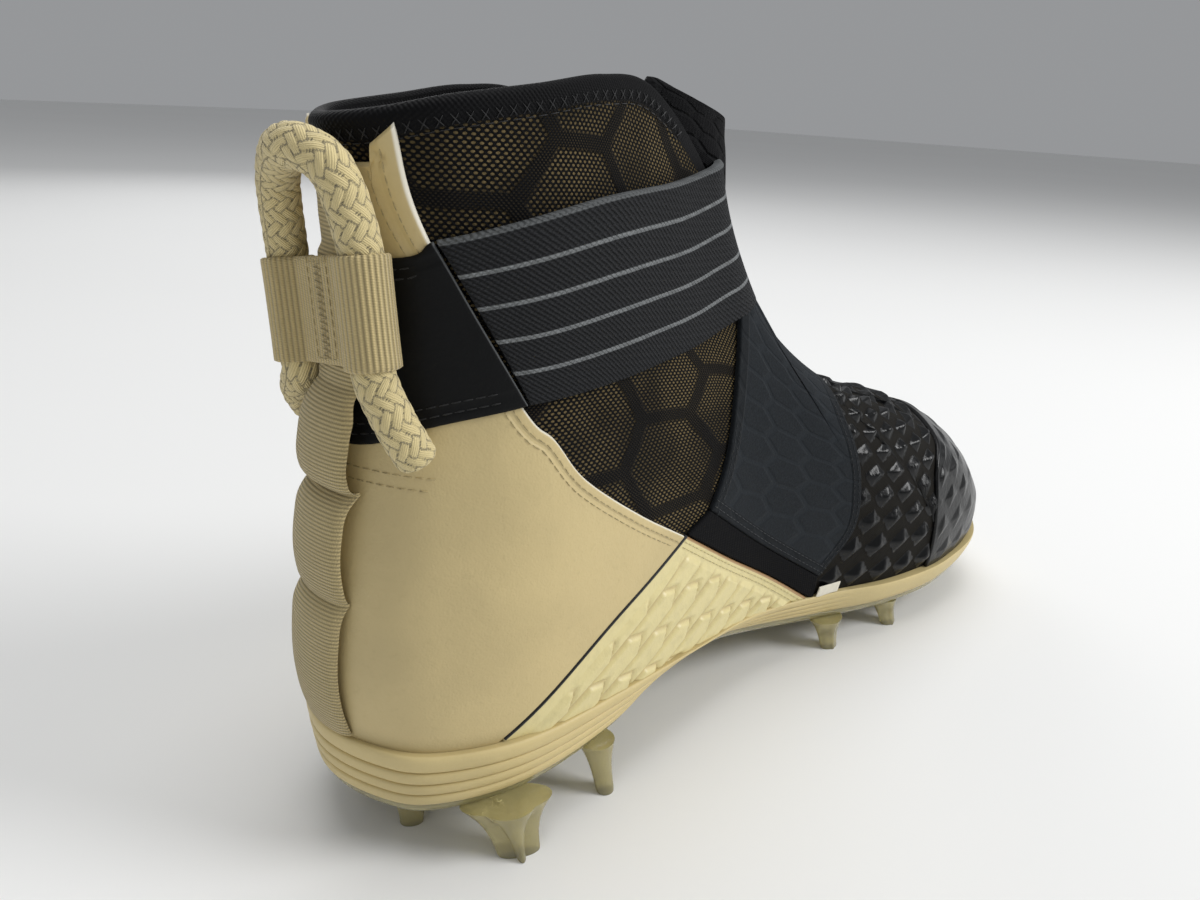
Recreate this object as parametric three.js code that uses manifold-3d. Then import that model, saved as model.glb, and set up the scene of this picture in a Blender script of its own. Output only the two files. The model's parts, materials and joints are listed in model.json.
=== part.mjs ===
// American football cleat for the left foot, high cut, with straps and a cord loop at the heel.
// Millimetres. +X runs from heel to toe, +Y to the outer side of the foot, +Z up from the stud tips.
import * as THREE from 'three';
import { mergeVertices } from 'three/addons/utils/BufferGeometryUtils.js';
import Module from 'manifold-3d';

const wasm = await Module();
wasm.setup();

// Driving dimensions of the sole
const SOLE_LENGTH = 309;
const SOLE_WIDTH = 94; // across the ball of the foot
const STUD_LENGTH = 9; // free height under the lowest part of the plate
const ARCH_LIFT = 12; // how far the plate rises above that at the waist
const PLATE_THICKNESS = 4.5;
const PLATE_ROUND = 3.5; // how far the plate's lower edge is rounded away
const HEEL_STACK = 17; // midsole height at the heel
const RIB_DEPTH = 1.1;
const INSOLE_THICKNESS = 3.5;

// Driving dimensions of the upper
const UPPER_HEIGHT = 158; // heel seat to collar
const ANKLE_WIDTH = 60;
const COLLAR_TILT = 3.5; // the collar is lower by this on the lateral side
const UPPER_WALL = 2.2;
const COLLAR_PADDING = 2.4; // added to the wall at the back of the collar
const BINDING_STEP = 0.25; // the bound edge of the collar stands out by this
const TONGUE_THICKNESS = 5;
const OVERLAY_THICKNESS = 1.3;
const BASE_PANEL_THICKNESS = 1;
const ANKLE_STRAP_THICKNESS = 2.8;
const INSTEP_STRAP_THICKNESS = 1.4;
const TOE_CAP_THICKNESS = 1.3;

// Driving dimensions of the heel pull
const CORD_DIAMETER = 9.4;
const LOOP_SPREAD = 34; // between the two legs of the loop
const LOOP_RISE = 27.3; // top of the loop above its sleeve
const LOOP_LEAN = 6.5; // how far the loop's top leans back from its legs
const LOOP_SWAY = 4.8; // how far it leans to the medial side of the sleeve's middle
const LOOP_ROLL = -9; // degrees, the pull hangs askew with its medial leg higher
const SLEEVE_WALL = 0.9;
const SLEEVE_WEB = 1.6;
const SLEEVE_HEIGHT = 24;
const RIBBON_WIDTH = 22;
const RIBBON_THICKNESS = 1.4;
const RIBBON_NECK = 18; // the ribbon's width where it passes under the sleeve
const RIBBON_BULGE = 4;
const RIBBON_BEND = 30; // radius to which the ribbon curls round the heel

const CLEARANCE = 0.3; // between pieces that lie on or beside each other
const SEAM_GAP = 0.6; // lengthwise, where two panels meet edge to edge

// How finely the surfaces are divided
const STEPS_PER_STATION = 3;
const WALL_STEPS = 7;
const CAP_STEPS = 3;
const STUD_SIDES = 8;
const CURVE_STEPS = 2; // per point of a curved seam
const CORD_SIDES = 9;
const CORD_STEPS = 32;
const SLEEVE_SIDES = 7; // per half turn
const RIBBON_STEPS = 30;
const RIBBON_HALF_STEPS = 2;
const BISECTIONS = 30;
const SMALLEST_DETAIL = 0.05;
const TONGUE_STOP = 2; // divisions short of the throat's end
const TONGUE_TUCK = 3; // divisions of the wall that overlap the tongue

const CREAM = 0xd9c795;
const LEATHER_CREAM = 0xcfbd8c;
const BLACK = 0x17171a;

// Names the columns of a table.
function table(columns, rows) {
  return rows.map((row) => Object.fromEntries(columns.map((name, k) => [name, row[k]])));
}

// Side profile of the sole. x is a share of SOLE_LENGTH, lift of ARCH_LIFT, stack of HEEL_STACK,
// and tuck, how far the underside draws in, of SOLE_WIDTH.
const SIDE_PROFILE = table(['x', 'lift', 'stack', 'tuck'], [
  [0.0, 0.35, 1.0, 0.025],
  [0.05, 0.28, 0.96, 0.025],
  [0.13, 0.25, 0.9, 0.03],
  [0.243, 0.42, 0.74, 0.04],
  [0.307, 0.75, 0.47, 0.06],
  [0.356, 0.9, 0.32, 0.065],
  [0.42, 0.75, 0.36, 0.06],
  [0.485, 0.45, 0.48, 0.05],
  [0.583, 0.12, 0.56, 0.035],
  [0.696, 0.0, 0.52, 0.03],
  [0.8, 0.0, 0.52, 0.03],
  [0.906, 0.2, 0.52, 0.035],
  [1.0, 0.65, 0.44, 0.04],
]);

// Outline of the sole from heel to toe. x is a share of SOLE_LENGTH, the half widths of SOLE_WIDTH.
const OUTLINE = table(['x', 'medial', 'lateral'], [
  [0.0, 0.0, 0.0],
  [0.015, 0.181, 0.181],
  [0.049, 0.309, 0.309],
  [0.129, 0.394, 0.399],
  [0.243, 0.388, 0.431],
  [0.356, 0.351, 0.457],
  [0.469, 0.314, 0.495],
  [0.583, 0.356, 0.537],
  [0.693, 0.447, 0.553],
  [0.806, 0.479, 0.495],
  [0.916, 0.404, 0.34],
  [1.0, 0.074, -0.074],
]);

// The foot form, a row for each station from heel to toe. The wall of a row rises from the feather
// line (x, medial, lateral) over two handles to the top line (topX, topMedial, topLateral, topZ).
// bulge and swell push the lower and upper handle outwards, rise and lift give their heights, and
// lean says how far the upper handle has moved in towards the top line. Over the top line the form
// closes at the ridge (ridgeX, ridgeZ), which is the front line of the ankle and instep.
// Lengths along are shares of SOLE_LENGTH, bulge, swell and widths at the feather line of
// SOLE_WIDTH, widths at the top line of ANKLE_WIDTH, and heights above the heel seat of UPPER_HEIGHT.
const STATIONS = table(
  ['x', 'medial', 'lateral', 'bulge', 'rise', 'topX', 'topMedial', 'topLateral', 'topZ',
    'lean', 'lift', 'swell', 'ridgeX', 'ridgeZ', 'padding'],
  [
    [0.011, 0.0, 0.0, 0.074, 0.29, 0.029, 0.0, 0.0, 0.928, 1.0, 0.62, -0.17, 0.042, 0.928, 1],
    [0.023, 0.149, 0.149, 0.074, 0.29, 0.042, 0.233, 0.242, 0.937, 1.0, 0.62, -0.191, 0.056, 0.937, 1],
    [0.058, 0.277, 0.277, 0.064, 0.28, 0.078, 0.4, 0.442, 0.957, 1.0, 0.6, -0.16, 0.091, 0.957, 0.8],
    [0.136, 0.356, 0.362, 0.064, 0.27, 0.146, 0.467, 0.5, 0.98, 1.0, 0.6, -0.043, 0.155, 0.968, 0.5],
    [0.243, 0.351, 0.394, 0.043, 0.25, 0.207, 0.45, 0.483, 0.998, 0.95, 0.6, 0.021, 0.252, 0.978, 0.3],
    [0.356, 0.314, 0.415, 0.043, 0.24, 0.265, 0.39, 0.433, 0.99, 0.92, 0.6, 0.032, 0.42, 0.968, 0.1],
    [0.469, 0.282, 0.457, 0.053, 0.23, 0.34, 0.3, 0.333, 0.905, 0.9, 0.6, 0.043, 0.447, 0.905, 0],
    [0.583, 0.33, 0.5, 0.064, 0.22, 0.398, 0.25, 0.283, 0.785, 0.85, 0.62, 0.064, 0.452, 0.785, 0],
    [0.696, 0.41, 0.516, 0.064, 0.2, 0.432, 0.217, 0.233, 0.652, 0.72, 0.69, 0.08, 0.451, 0.652, 0],
    [0.803, 0.436, 0.457, 0.074, 0.19, 0.474, 0.167, 0.183, 0.54, 0.56, 0.71, 0.064, 0.49, 0.54, 0],
    [0.906, 0.362, 0.309, 0.096, 0.18, 0.526, 0.1, 0.117, 0.445, 0.44, 0.76, 0.053, 0.534, 0.455, 0],
    [0.981, 0.064, -0.064, 0.106, 0.17, 0.553, 0.0, 0.0, 0.412, 0.36, 0.79, 0.032, 0.56, 0.418, 0],
  ],
);
const RING_COUNT = 2 * (STATIONS.length - 1);
const AROUND = RING_COUNT * STEPS_PER_STATION;
const UP = new THREE.Vector3(0, 0, 1);

// Seams and edges in the side view. x is a share of SOLE_LENGTH, z of UPPER_HEIGHT above the heel seat.
const QUARTER_FRONT = [[0.052, 0.925], [0.074, 0.778], [0.131, 0.538], [0.156, 0.481], [0.186, 0.405], [0.252, 0.31], [0.32, 0.228]];
const QUARTER_BACK = [[0.052, 0.925], [0.044, 0.895], [0.04, 0.87], [-0.1, 0.845]];
const PIPING = [[0.32, 0.228], [0.19, 0.1], [0.076, -0.06]];
const CAGE_TOP = [[0.32, 0.228], [0.4, 0.128], [0.482, 0.032], [0.56, -0.07]];
const PANEL_TOP = [[0.077, 0.775], [0.05, 0.745], [-0.1, 0.72]];
const PANEL_BOTTOM = [[-0.1, 0.44], [0.026, 0.468], [0.071, 0.512], [0.134, 0.54]];
const ANKLE_TOP = [[0.077, 0.775], [0.2, 0.83], [0.34, 0.855], [0.5, 0.93]];
const ANKLE_BOTTOM = [[0.134, 0.54], [0.25, 0.56], [0.337, 0.575], [0.414, 0.6], [0.52, 0.61]];
const INSTEP_BACK = [[0.414, 0.66], [0.398, 0.411], [0.385, 0.323], [0.362, 0.253]];
const INSTEP_FOOT = [[0.362, 0.253], [0.456, 0.127], [0.563, -0.006]];
const INSTEP_FRONT = [[0.563, -0.006], [0.602, 0.095], [0.6, 0.215], [0.586, 0.31], [0.566, 0.4], [0.52, 0.7]];
const TOE_CAP_BACK = [[0.76, -0.2], [0.757, -0.045], [0.752, 0.108], [0.77, 0.2], [0.85, 0.28], [0.93, 0.4]];

// Studs. x is a share of SOLE_LENGTH and y of SOLE_WIDTH, at the tip; the other lengths are shares of
// STUD_LENGTH: the tip's size, how far the root flares along and across the stud, and the splay, by
// which the tip stands out from the root. turn is in degrees. A bladed stud has a fin across it.
const STUDS = table(['x', 'y', 'tipLength', 'tipWidth', 'along', 'across', 'splay', 'turn', 'bladed'], [
  [0.062, -0.13, 0.7, 0.36, 0.5, 0.35, 0, -29, false],
  [0.062, 0.13, 0.7, 0.36, 0.5, 0.35, 0, 29, false],
  [0.113, -0.42, 1.28, 0.45, 0.75, 0.4, 0.6, -24, true],
  [0.113, 0.43, 1.28, 0.45, 0.75, 0.4, 0.6, 24, true],
  [0.223, -0.387, 0.62, 0.55, 0.32, 0.3, 0.5, 0, false],
  [0.223, 0.42, 0.62, 0.55, 0.32, 0.3, 0.5, 0, false],
  [0.607, -0.345, 0.8, 0.5, 0.4, 0.3, 0.3, -10, true],
  [0.59, 0.47, 0.8, 0.5, 0.4, 0.3, 0.4, 10, true],
  [0.717, -0.394, 0.8, 0.5, 0.4, 0.3, 0.4, -5, true],
  [0.715, 0.475, 0.8, 0.5, 0.4, 0.3, 0.4, 5, true],
  [0.838, 0.375, 0.8, 0.5, 0.4, 0.3, 0.3, -15, true],
  [0.905, -0.06, 0.8, 0.6, 0.35, 0.3, 0, 90, false],
]);
const FIN_SHARE = 0.75; // a blade's fin against the blade's own length

// Side levels of the midsole from bottom to top: height as a share of the local stack,
// groove as a share of RIB_DEPTH.
const MIDSOLE_LEVELS = table(['height', 'groove'], [
  [0.0, 1.0],
  [0.11, 0.0],
  [0.22, 1.0],
  [0.33, 0.0],
  [0.44, 1.0],
  [0.56, 0.0],
  [0.68, 1.0],
  [0.8, 0.0],
  [0.93, 0.1],
  [1.0, 1.0],
]);

// Side levels of the plate: height as a share of its thickness, inset as a share of PLATE_ROUND.
const PLATE_LEVELS = table(['height', 'inset'], [
  [0.0, 1.0],
  [0.3, 0.35],
  [0.7, 0.05],
  [1.0, 0.1],
]);

// Heights and widths of a stud from root to tip. depth is a share of the way down, size mixes
// from the flared root (1) to the tip (0).
const STUD_LEVELS = table(['depth', 'size'], [
  [-0.12, 1.0],
  [0.2, 0.5],
  [0.55, 0.16],
  [1.0, 0.0],
]);

// Free panels of the heel ribbon between the sleeve and the sole. from and to are shares of the
// height below the sleeve, bulge is a share of RIBBON_BULGE, peak says where in the panel it is fullest.
const RIBBON_FOLDS = table(['from', 'to', 'bulge', 'peak'], [
  [0.05, 0.3, 1.0, 0.62],
  [0.31, 0.595, 0.9, 0.3],
  [0.605, 1.0, 0.5, 0.2],
]);

// Heights of the heel pull as shares of UPPER_HEIGHT above the heel seat, and where on the quarter
// the cord ends: its station, how far it stands off and how far the free cord bows out above it.
const SLEEVE_TOP = 0.742;
const RIBBON_TOP = 0.825;
const CORD_END = { station: 1.75, z: 0.47, lift: 0.4, bow: 1.2 };
const LEG_STATION = 3; // the loop's legs stand behind this station
const NECK_RUN = 6; // height over which the ribbon narrows
const RIBBON_END_CUT = 0.2; // share of its width lost at the upper end
const PANEL_MARGIN = 3; // height over which the ribbon steps off the panel's edges

const sideProfile = new THREE.CubicInterpolant(
  SIDE_PROFILE.map((row) => row.x),
  SIDE_PROFILE.flatMap((row) => [row.lift, row.stack, row.tuck]),
  3,
);

// The sole's heights and tuck at a distance x from the heel.
function soleAt(x) {
  const share = THREE.MathUtils.clamp(x / SOLE_LENGTH, 0, 1);
  const [lift, stack, tuck] = sideProfile.evaluate(share);
  const underside = STUD_LENGTH + lift * ARCH_LIFT;
  const base = underside + PLATE_THICKNESS + CLEARANCE;
  return { underside, base, top: base + stack * HEEL_STACK, stack, tuck: tuck * SOLE_WIDTH };
}

const HEEL_SEAT = soleAt(0).top;
const along = (share) => share * SOLE_LENGTH;
const upTo = (share) => HEEL_SEAT + share * UPPER_HEIGHT;

// A closed smooth ring through one point a station, down the medial side and back up the lateral.
function stationRing(rows, place) {
  const medial = rows.map((row) => place(row, -1));
  const lateral = rows.slice(1, -1).reverse().map((row) => place(row, 1));
  return new THREE.CatmullRomCurve3([...medial, ...lateral], true, 'catmullrom', 0.5);
}

const halfWidth = (row, side) => (side < 0 ? -row.medial : row.lateral);

const outline = stationRing(OUTLINE, (row, side) => new THREE.Vector3(
  along(row.x),
  halfWidth(row, side) * SOLE_WIDTH,
  0,
));

const feather = stationRing(STATIONS, (row, side) => new THREE.Vector3(
  along(row.x),
  halfWidth(row, side) * SOLE_WIDTH,
  soleAt(along(row.x)).top + CLEARANCE,
));

const topLine = stationRing(STATIONS, (row, side) => {
  const y = (side < 0 ? -row.topMedial : row.topLateral) * ANKLE_WIDTH;
  const drop = COLLAR_TILT * Math.max(y, 0) / (ANKLE_WIDTH / 2);
  return new THREE.Vector3(along(row.topX), y, upTo(row.topZ) - drop);
});

const ridge = stationRing(STATIONS, (row) => new THREE.Vector3(along(row.ridgeX), 0, upTo(row.ridgeZ)));

const ringRows = [...STATIONS, ...STATIONS.slice(1, -1).reverse()];

// The outward direction in plan at a control point of the feather line.
function outwardAt(k) {
  const before = feather.points.at(k - 1);
  const after = feather.points[(k + 1) % RING_COUNT];
  return new THREE.Vector3(after.y - before.y, before.x - after.x, 0).normalize();
}

// A ring of handles that shape the wall between the feather line and the top line.
function handleRing(place) {
  const points = ringRows.map((row, k) => place(row, feather.points[k], topLine.points[k], outwardAt(k)));
  return new THREE.CatmullRomCurve3(points, true, 'catmullrom', 0.5);
}

const lowerHandle = handleRing((row, foot, top, out) => foot.clone()
  .addScaledVector(out, row.bulge * SOLE_WIDTH)
  .setZ(foot.z + row.rise * UPPER_HEIGHT));

const upperHandle = handleRing((row, foot, top, out) => foot.clone()
  .lerp(top, row.lean)
  .addScaledVector(out, row.swell * SOLE_WIDTH)
  .setZ(THREE.MathUtils.lerp(foot.z, top.z, row.lift)));

// A point of the foot form. u runs round from the heel, 0 to 1. v runs up the wall from the feather
// line, 0, to the top line, 1, and on over the closed front and lid to the ridge, 2.
function formPoint(u, v) {
  const t = THREE.MathUtils.euclideanModulo(u, 1);
  const top = topLine.getPoint(t);
  if (v > 1) {
    const end = ridge.getPoint(t);
    const turn = (v - 1) * Math.PI / 2;
    const rise = Math.sin(turn);
    return new THREE.Vector3(
      THREE.MathUtils.lerp(top.x, end.x, rise),
      THREE.MathUtils.lerp(top.y, end.y, 1 - Math.cos(turn)),
      THREE.MathUtils.lerp(top.z, end.z, rise),
    );
  }
  const foot = feather.getPoint(t);
  const wall = new THREE.CubicBezierCurve3(foot, lowerHandle.getPoint(t), upperHandle.getPoint(t), top);
  const point = wall.getPoint(v);
  return v === 0 ? point.setZ(soleAt(point.x).top + CLEARANCE) : point;
}

const NUDGE = 0.002;

// The outward normal of the form between two values of v.
function formNormal(u, low, high) {
  const middle = (low + high) / 2;
  const across = formPoint(u + NUDGE, middle).sub(formPoint(u - NUDGE, middle));
  const up = formPoint(u, high).sub(formPoint(u, low));
  return across.cross(up).normalize();
}

// Where u lies among the stations, counted from the heel on either side.
const stationAt = (u) => Math.min(u, 1 - u) * RING_COUNT;

const COLLAR_CORNER = 5; // the station where the collar ends and the throat begins

// The outward normal of the part of the form that lies over the top line: a level lid behind the
// collar's front corner, and the rounded front of the ankle ahead of it.
function coverNormal(u, v) {
  const station = stationAt(u);
  if (station < COLLAR_CORNER - NUDGE) return UP.clone();
  const step = (station < COLLAR_CORNER + NUDGE ? 2 : 0) * NUDGE * (u < 0.5 ? 1 : -1);
  const end = Math.min(v, 2 - NUDGE);
  const front = formNormal(u + step, Math.max(end - NUDGE, 1), end + NUDGE);
  if (v === 2) front.setY(0).normalize();
  return step === 0 ? front : front.add(UP).normalize();
}

// The normal along which layers are stacked on the form: level at the feather line, shared by
// wall and cover at the top line, and in the shoe's middle plane at the ridge.
function layerNormal(u, v) {
  if (v === 0) return formNormal(u, NUDGE, 2 * NUDGE).setZ(0).normalize();
  if (v > 1) return coverNormal(u, v);
  if (v < 1) return formNormal(u, v - NUDGE, v + NUDGE);
  const wall = formNormal(u, 1 - NUDGE, 1);
  const mean = wall.clone().add(coverNormal(u, 1 + 2 * NUDGE)).normalize();
  return mean.divideScalar(Math.max(mean.dot(wall), 0.8));
}

const layerPoint = (u, v, height) => formPoint(u, v).addScaledVector(layerNormal(u, v), height);

// A mesh geometry from points and triangles.
function geometryOf(points, triangles) {
  const geometry = new THREE.BufferGeometry().setFromPoints(points);
  geometry.setIndex(triangles);
  return geometry;
}

// Two triangles for the four corners of a patch, in order.
const patch = (a, b, c, d) => [a, b, c, a, c, d];

// A solid from stacked rings of equal count, bottom first, each running heel, medial, toe, lateral.
function stackedRings(rings) {
  const count = rings[0].length;
  const triangles = [];
  for (let level = 0; level + 1 < rings.length; level += 1) {
    for (let i = 0; i < count; i += 1) {
      const next = (i + 1) % count;
      const [low, high] = [level * count, (level + 1) * count];
      triangles.push(...patch(low + i, low + next, high + next, high + i));
    }
  }
  const top = (rings.length - 1) * count;
  triangles.push(...ringCap(count, (k) => top + k));
  triangles.push(...ringCap(count, (k) => k).reverse());
  return geometryOf(rings.flat(), triangles);
}

// Closes a ring with rungs from its medial to its lateral half, facing up.
function ringCap(count, index) {
  const half = count / 2;
  const triangles = [index(0), index(1), index(count - 1)];
  for (let k = 1; k < half - 1; k += 1) {
    triangles.push(...patch(index(k), index(k + 1), index(count - k - 1), index(count - k)));
  }
  triangles.push(index(half - 1), index(half), index(half + 1));
  return triangles;
}

// A solid between an outer and an inner grid of points. The grids close on themselves in u if asked.
function shellSolid(outer, inner, closed) {
  const [rows, columns] = [outer.length, outer[0].length];
  const out = (i, j) => (i % rows) * columns + j;
  const into = (i, j) => rows * columns + out(i, j);
  const last = closed ? rows : rows - 1;
  const triangles = [];
  for (let i = 0; i < last; i += 1) {
    for (let j = 0; j + 1 < columns; j += 1) {
      triangles.push(...patch(out(i, j), out(i + 1, j), out(i + 1, j + 1), out(i, j + 1)));
      triangles.push(...patch(into(i, j), into(i, j + 1), into(i + 1, j + 1), into(i + 1, j)));
    }
    const end = columns - 1;
    triangles.push(...patch(into(i, 0), into(i + 1, 0), out(i + 1, 0), out(i, 0)));
    triangles.push(...patch(out(i, end), out(i + 1, end), into(i + 1, end), into(i, end)));
  }
  if (!closed) {
    for (let j = 0; j + 1 < columns; j += 1) {
      triangles.push(...patch(out(0, j), out(0, j + 1), into(0, j + 1), into(0, j)));
      triangles.push(...patch(into(last, j), into(last, j + 1), out(last, j + 1), out(last, j)));
    }
  }
  return geometryOf([...outer.flat(), ...inner.flat()], triangles);
}

// Solids for cutting and joining
function solidOf(geometry) {
  const bare = geometry.clone();
  bare.deleteAttribute('normal');
  bare.deleteAttribute('uv');
  const merged = mergeVertices(bare, 1e-5);
  return new wasm.Manifold(new wasm.Mesh({
    numProp: 3,
    vertProperties: new Float32Array(merged.attributes.position.array),
    triVerts: new Uint32Array(merged.index.array),
  }));
}

function geometryFrom(solid) {
  const mesh = solid.simplify(SMALLEST_DETAIL).getMesh();
  const geometry = new THREE.BufferGeometry();
  geometry.setAttribute('position', new THREE.BufferAttribute(mesh.vertProperties, 3));
  geometry.setIndex(new THREE.BufferAttribute(mesh.triVerts, 1));
  return geometry;
}

const BINDING_BAND = 0.035; // share of the wall over which the collar's edge flares
const WALL_SHARES = [...Array.from({ length: WALL_STEPS }, (_, j) => j / WALL_STEPS), 1 - BINDING_BAND, 1];
const COVER_SHARES = Array.from({ length: CAP_STEPS }, (_, j) => 1 + (j + 1) / CAP_STEPS);

// The whole foot form as a closed solid, grown outwards by a height and, for cutting, lengthened
// below the feather line by a drop.
function grownForm(height, drop = 0) {
  const columns = [...WALL_SHARES, ...COVER_SHARES];
  const grid = Array.from({ length: AROUND }, (_, i) => columns.map((v) => layerPoint(i / AROUND, v, height)));
  if (drop > 0) {
    grid.forEach((column) => column.unshift(column[0].clone().setZ(column[0].z - drop)));
  }
  const rows = grid[0].length;
  const end = rows - 1;
  const index = (i, j) => {
    const k = i % AROUND;
    return (j === end ? Math.min(k, AROUND - k) : k) * rows + j;
  };
  const triangles = [];
  for (let i = 0; i < AROUND; i += 1) {
    for (let j = 0; j < end; j += 1) {
      const corners = [index(i, j), index(i + 1, j), index(i + 1, j + 1), index(i, j + 1)];
      if (corners[2] === corners[3]) triangles.push(corners[0], corners[1], corners[2]);
      else triangles.push(...patch(...corners));
    }
  }
  triangles.push(...ringCap(AROUND, (k) => index(k, 0)).reverse());
  return solidOf(mergeVertices(geometryOf(grid.flat(), triangles), 1e-5));
}

const CUT_DROP = 6;
const CUT_REACH = 2 * SOLE_WIDTH;

// A layer of the given thickness lying on the form at a given height above it.
function layer(height, thickness) {
  return grownForm(height + thickness).subtract(grownForm(height, CUT_DROP));
}

// Edge points of the side view in millimetres, shifted lengthwise where a seam needs its gap.
const edge = (points, shift = 0) => points.map(([x, z]) => new THREE.Vector2(along(x) + shift, upTo(z)));

// A cutter through the whole shoe, or through one side of it, with a side-view outline made of
// smooth runs that are joined by straight lines.
function sideCutter(runs, side = 0) {
  const shape = new THREE.Shape();
  runs.forEach((run, k) => {
    if (k === 0) shape.moveTo(run[0].x, run[0].y);
    else shape.lineTo(run[0].x, run[0].y);
    if (run.length > 2) shape.splineThru(run.slice(1));
    if (run.length === 2) shape.lineTo(run[1].x, run[1].y);
  });
  const points = shape.getPoints(CURVE_STEPS);
  const distinct = points.filter((point, k) => point.distanceTo(points.at(k - 1)) > 1e-3);
  const depth = side === 0 ? 2 * CUT_REACH : CUT_REACH;
  const cutter = new THREE.ExtrudeGeometry(new THREE.Shape(distinct), { depth, bevelEnabled: false });
  cutter.rotateX(Math.PI / 2);
  cutter.translate(0, side < 0 ? 0 : CUT_REACH, 0);
  return solidOf(cutter);
}

const reversed = (points) => [...points].reverse();

// A stretch of side-view corner points in shares, joined by straight lines.
const corners = (...points) => edge(points).map((point) => [point]);

function material(color, roughness, metalness = 0, extra = {}) {
  return new THREE.MeshStandardMaterial({ color, roughness, metalness, ...extra });
}

function piece(name, geometry, look) {
  const mesh = new THREE.Mesh(geometry, look);
  mesh.name = name;
  return mesh;
}

// A ring of the sole drawn in from the outline, at a height found from the place.
function soleRing(inset, height) {
  return Array.from({ length: AROUND }, (_, i) => {
    const u = i / AROUND;
    const point = outline.getPoint(u);
    const tangent = outline.getTangent(u);
    const sole = soleAt(point.x);
    const out = new THREE.Vector3(tangent.y, -tangent.x, 0).normalize();
    point.addScaledVector(out, -inset(sole));
    return point.setZ(height(soleAt(point.x)));
  });
}

function midsole() {
  const rings = MIDSOLE_LEVELS.map(({ height, groove }) => soleRing(
    (sole) => sole.tuck * (1 - height) ** 1.4 + groove * RIB_DEPTH * Math.min(1, sole.stack * 1.3),
    (sole) => THREE.MathUtils.lerp(sole.base, sole.top, height),
  ));
  return piece('midsole', stackedRings(rings), material(CREAM, 0.6));
}

// One stud, a stack of rounded sections from the plate down to a flat tip on the ground.
function studSolid(stud, length, width) {
  const root = soleAt(along(stud.x)).underside;
  const side = Math.sign(stud.y);
  const sections = reversed(STUD_LEVELS).map(({ depth, size }) => {
    const [reachAlong, reachAcross] = [stud.along, stud.across].map((share) => size * share * STUD_LENGTH);
    return Array.from({ length: STUD_SIDES }, (_, k) => {
      const angle = 2 * Math.PI * k / STUD_SIDES;
      return new THREE.Vector3(
        (length / 2 + reachAlong) * Math.cos(angle),
        (width / 2 + reachAcross) * Math.sin(angle),
        root * (1 - depth),
      ).applyAxisAngle(UP, THREE.MathUtils.degToRad(stud.turn))
        .add(new THREE.Vector3(0, -side * stud.splay * STUD_LENGTH * (1 - depth), 0));
    });
  });
  const geometry = stackedRings(sections);
  geometry.translate(along(stud.x), stud.y * SOLE_WIDTH, 0);
  return solidOf(geometry);
}

function outsole() {
  const rings = PLATE_LEVELS.map(({ height, inset }) => soleRing(
    (sole) => sole.tuck + RIB_DEPTH + inset * PLATE_ROUND,
    (sole) => sole.underside + height * PLATE_THICKNESS,
  ));
  let plate = solidOf(stackedRings(rings));
  STUDS.forEach((stud) => {
    const length = stud.tipLength * STUD_LENGTH;
    const width = stud.tipWidth * STUD_LENGTH;
    plate = plate.add(studSolid(stud, length, width));
    if (stud.bladed) plate = plate.add(studSolid(stud, width * FIN_SHARE, length * FIN_SHARE));
  });
  const look = material(0xcfc08a, 0.25, 0, { transparent: true, opacity: 0.85 });
  return piece('outsole', geometryFrom(plate), look);
}

function insole() {
  const inset = UPPER_WALL + 2 * CLEARANCE;
  const ring = (rise) => Array.from({ length: AROUND }, (_, i) => {
    const u = i / AROUND;
    const point = formPoint(u, 0).addScaledVector(layerNormal(u, 0), -inset);
    return point.setZ(soleAt(point.x).top + CLEARANCE + rise);
  });
  return piece('insole', stackedRings([ring(0), ring(INSOLE_THICKNESS)]), material(0x55504a, 0.9));
}

// How much of the collar's padding and binding a place of the wall has.
function paddingAt(u) {
  const station = stationAt(u);
  const row = Math.min(Math.floor(station), STATIONS.length - 2);
  return THREE.MathUtils.lerp(STATIONS[row].padding, STATIONS[row + 1].padding, station - row);
}

const wallThickness = (u, v) => UPPER_WALL
  + paddingAt(u) * COLLAR_PADDING * THREE.MathUtils.smoothstep(v, 0.7, 0.95);

// The upper's own normal, which stays with the wall at the top line.
function wallNormal(u, v) {
  if (v === 0) return layerNormal(u, 0);
  return formNormal(u, v - NUDGE, Math.min(v + NUDGE, 1));
}

// The hollow sock and vamp in one, open at the collar, down the throat and underneath.
function upper() {
  const outer = [];
  const inner = [];
  for (let i = 0; i < AROUND; i += 1) {
    const u = i / AROUND;
    const bound = BINDING_STEP * Math.min(1, paddingAt(u) / STATIONS[COLLAR_CORNER].padding);
    const wall = (height) => (v) => formPoint(u, v).addScaledVector(wallNormal(u, v), height(v));
    outer.push(WALL_SHARES.map(wall((v) => (v < 1 ? 0 : bound))));
    inner.push(WALL_SHARES.map(wall((v) => -wallThickness(u, v))));
  }
  return piece('upper', shellSolid(outer, inner, true), material(BLACK, 0.7));
}

// The tongue lies under the edges of the throat, on the same divisions of the form as they do.
function tongue() {
  const first = COLLAR_CORNER * STEPS_PER_STATION;
  const last = (STATIONS.length - 1) * STEPS_PER_STATION - TONGUE_STOP;
  const depth = UPPER_WALL + 4 * CLEARANCE;
  const half = [...WALL_SHARES.slice(-TONGUE_TUCK), ...COVER_SHARES];
  const grid = (under) => Array.from({ length: last - first + 1 }, (_, i) => {
    const u = (first + i) / AROUND;
    const medial = half.map((v) => layerPoint(u, v, -depth - under));
    const lateral = half.slice(0, -1).map((v) => layerPoint(1 - u, v, -depth - under));
    return [...medial, ...lateral.reverse()];
  });
  const geometry = shellSolid(grid(0), grid(TONGUE_THICKNESS), false);
  return piece('tongue', geometry, material(BLACK, 0.9));
}

// Overlays on the form
const skin = layer(CLEARANCE, OVERLAY_THICKNESS);

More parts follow.
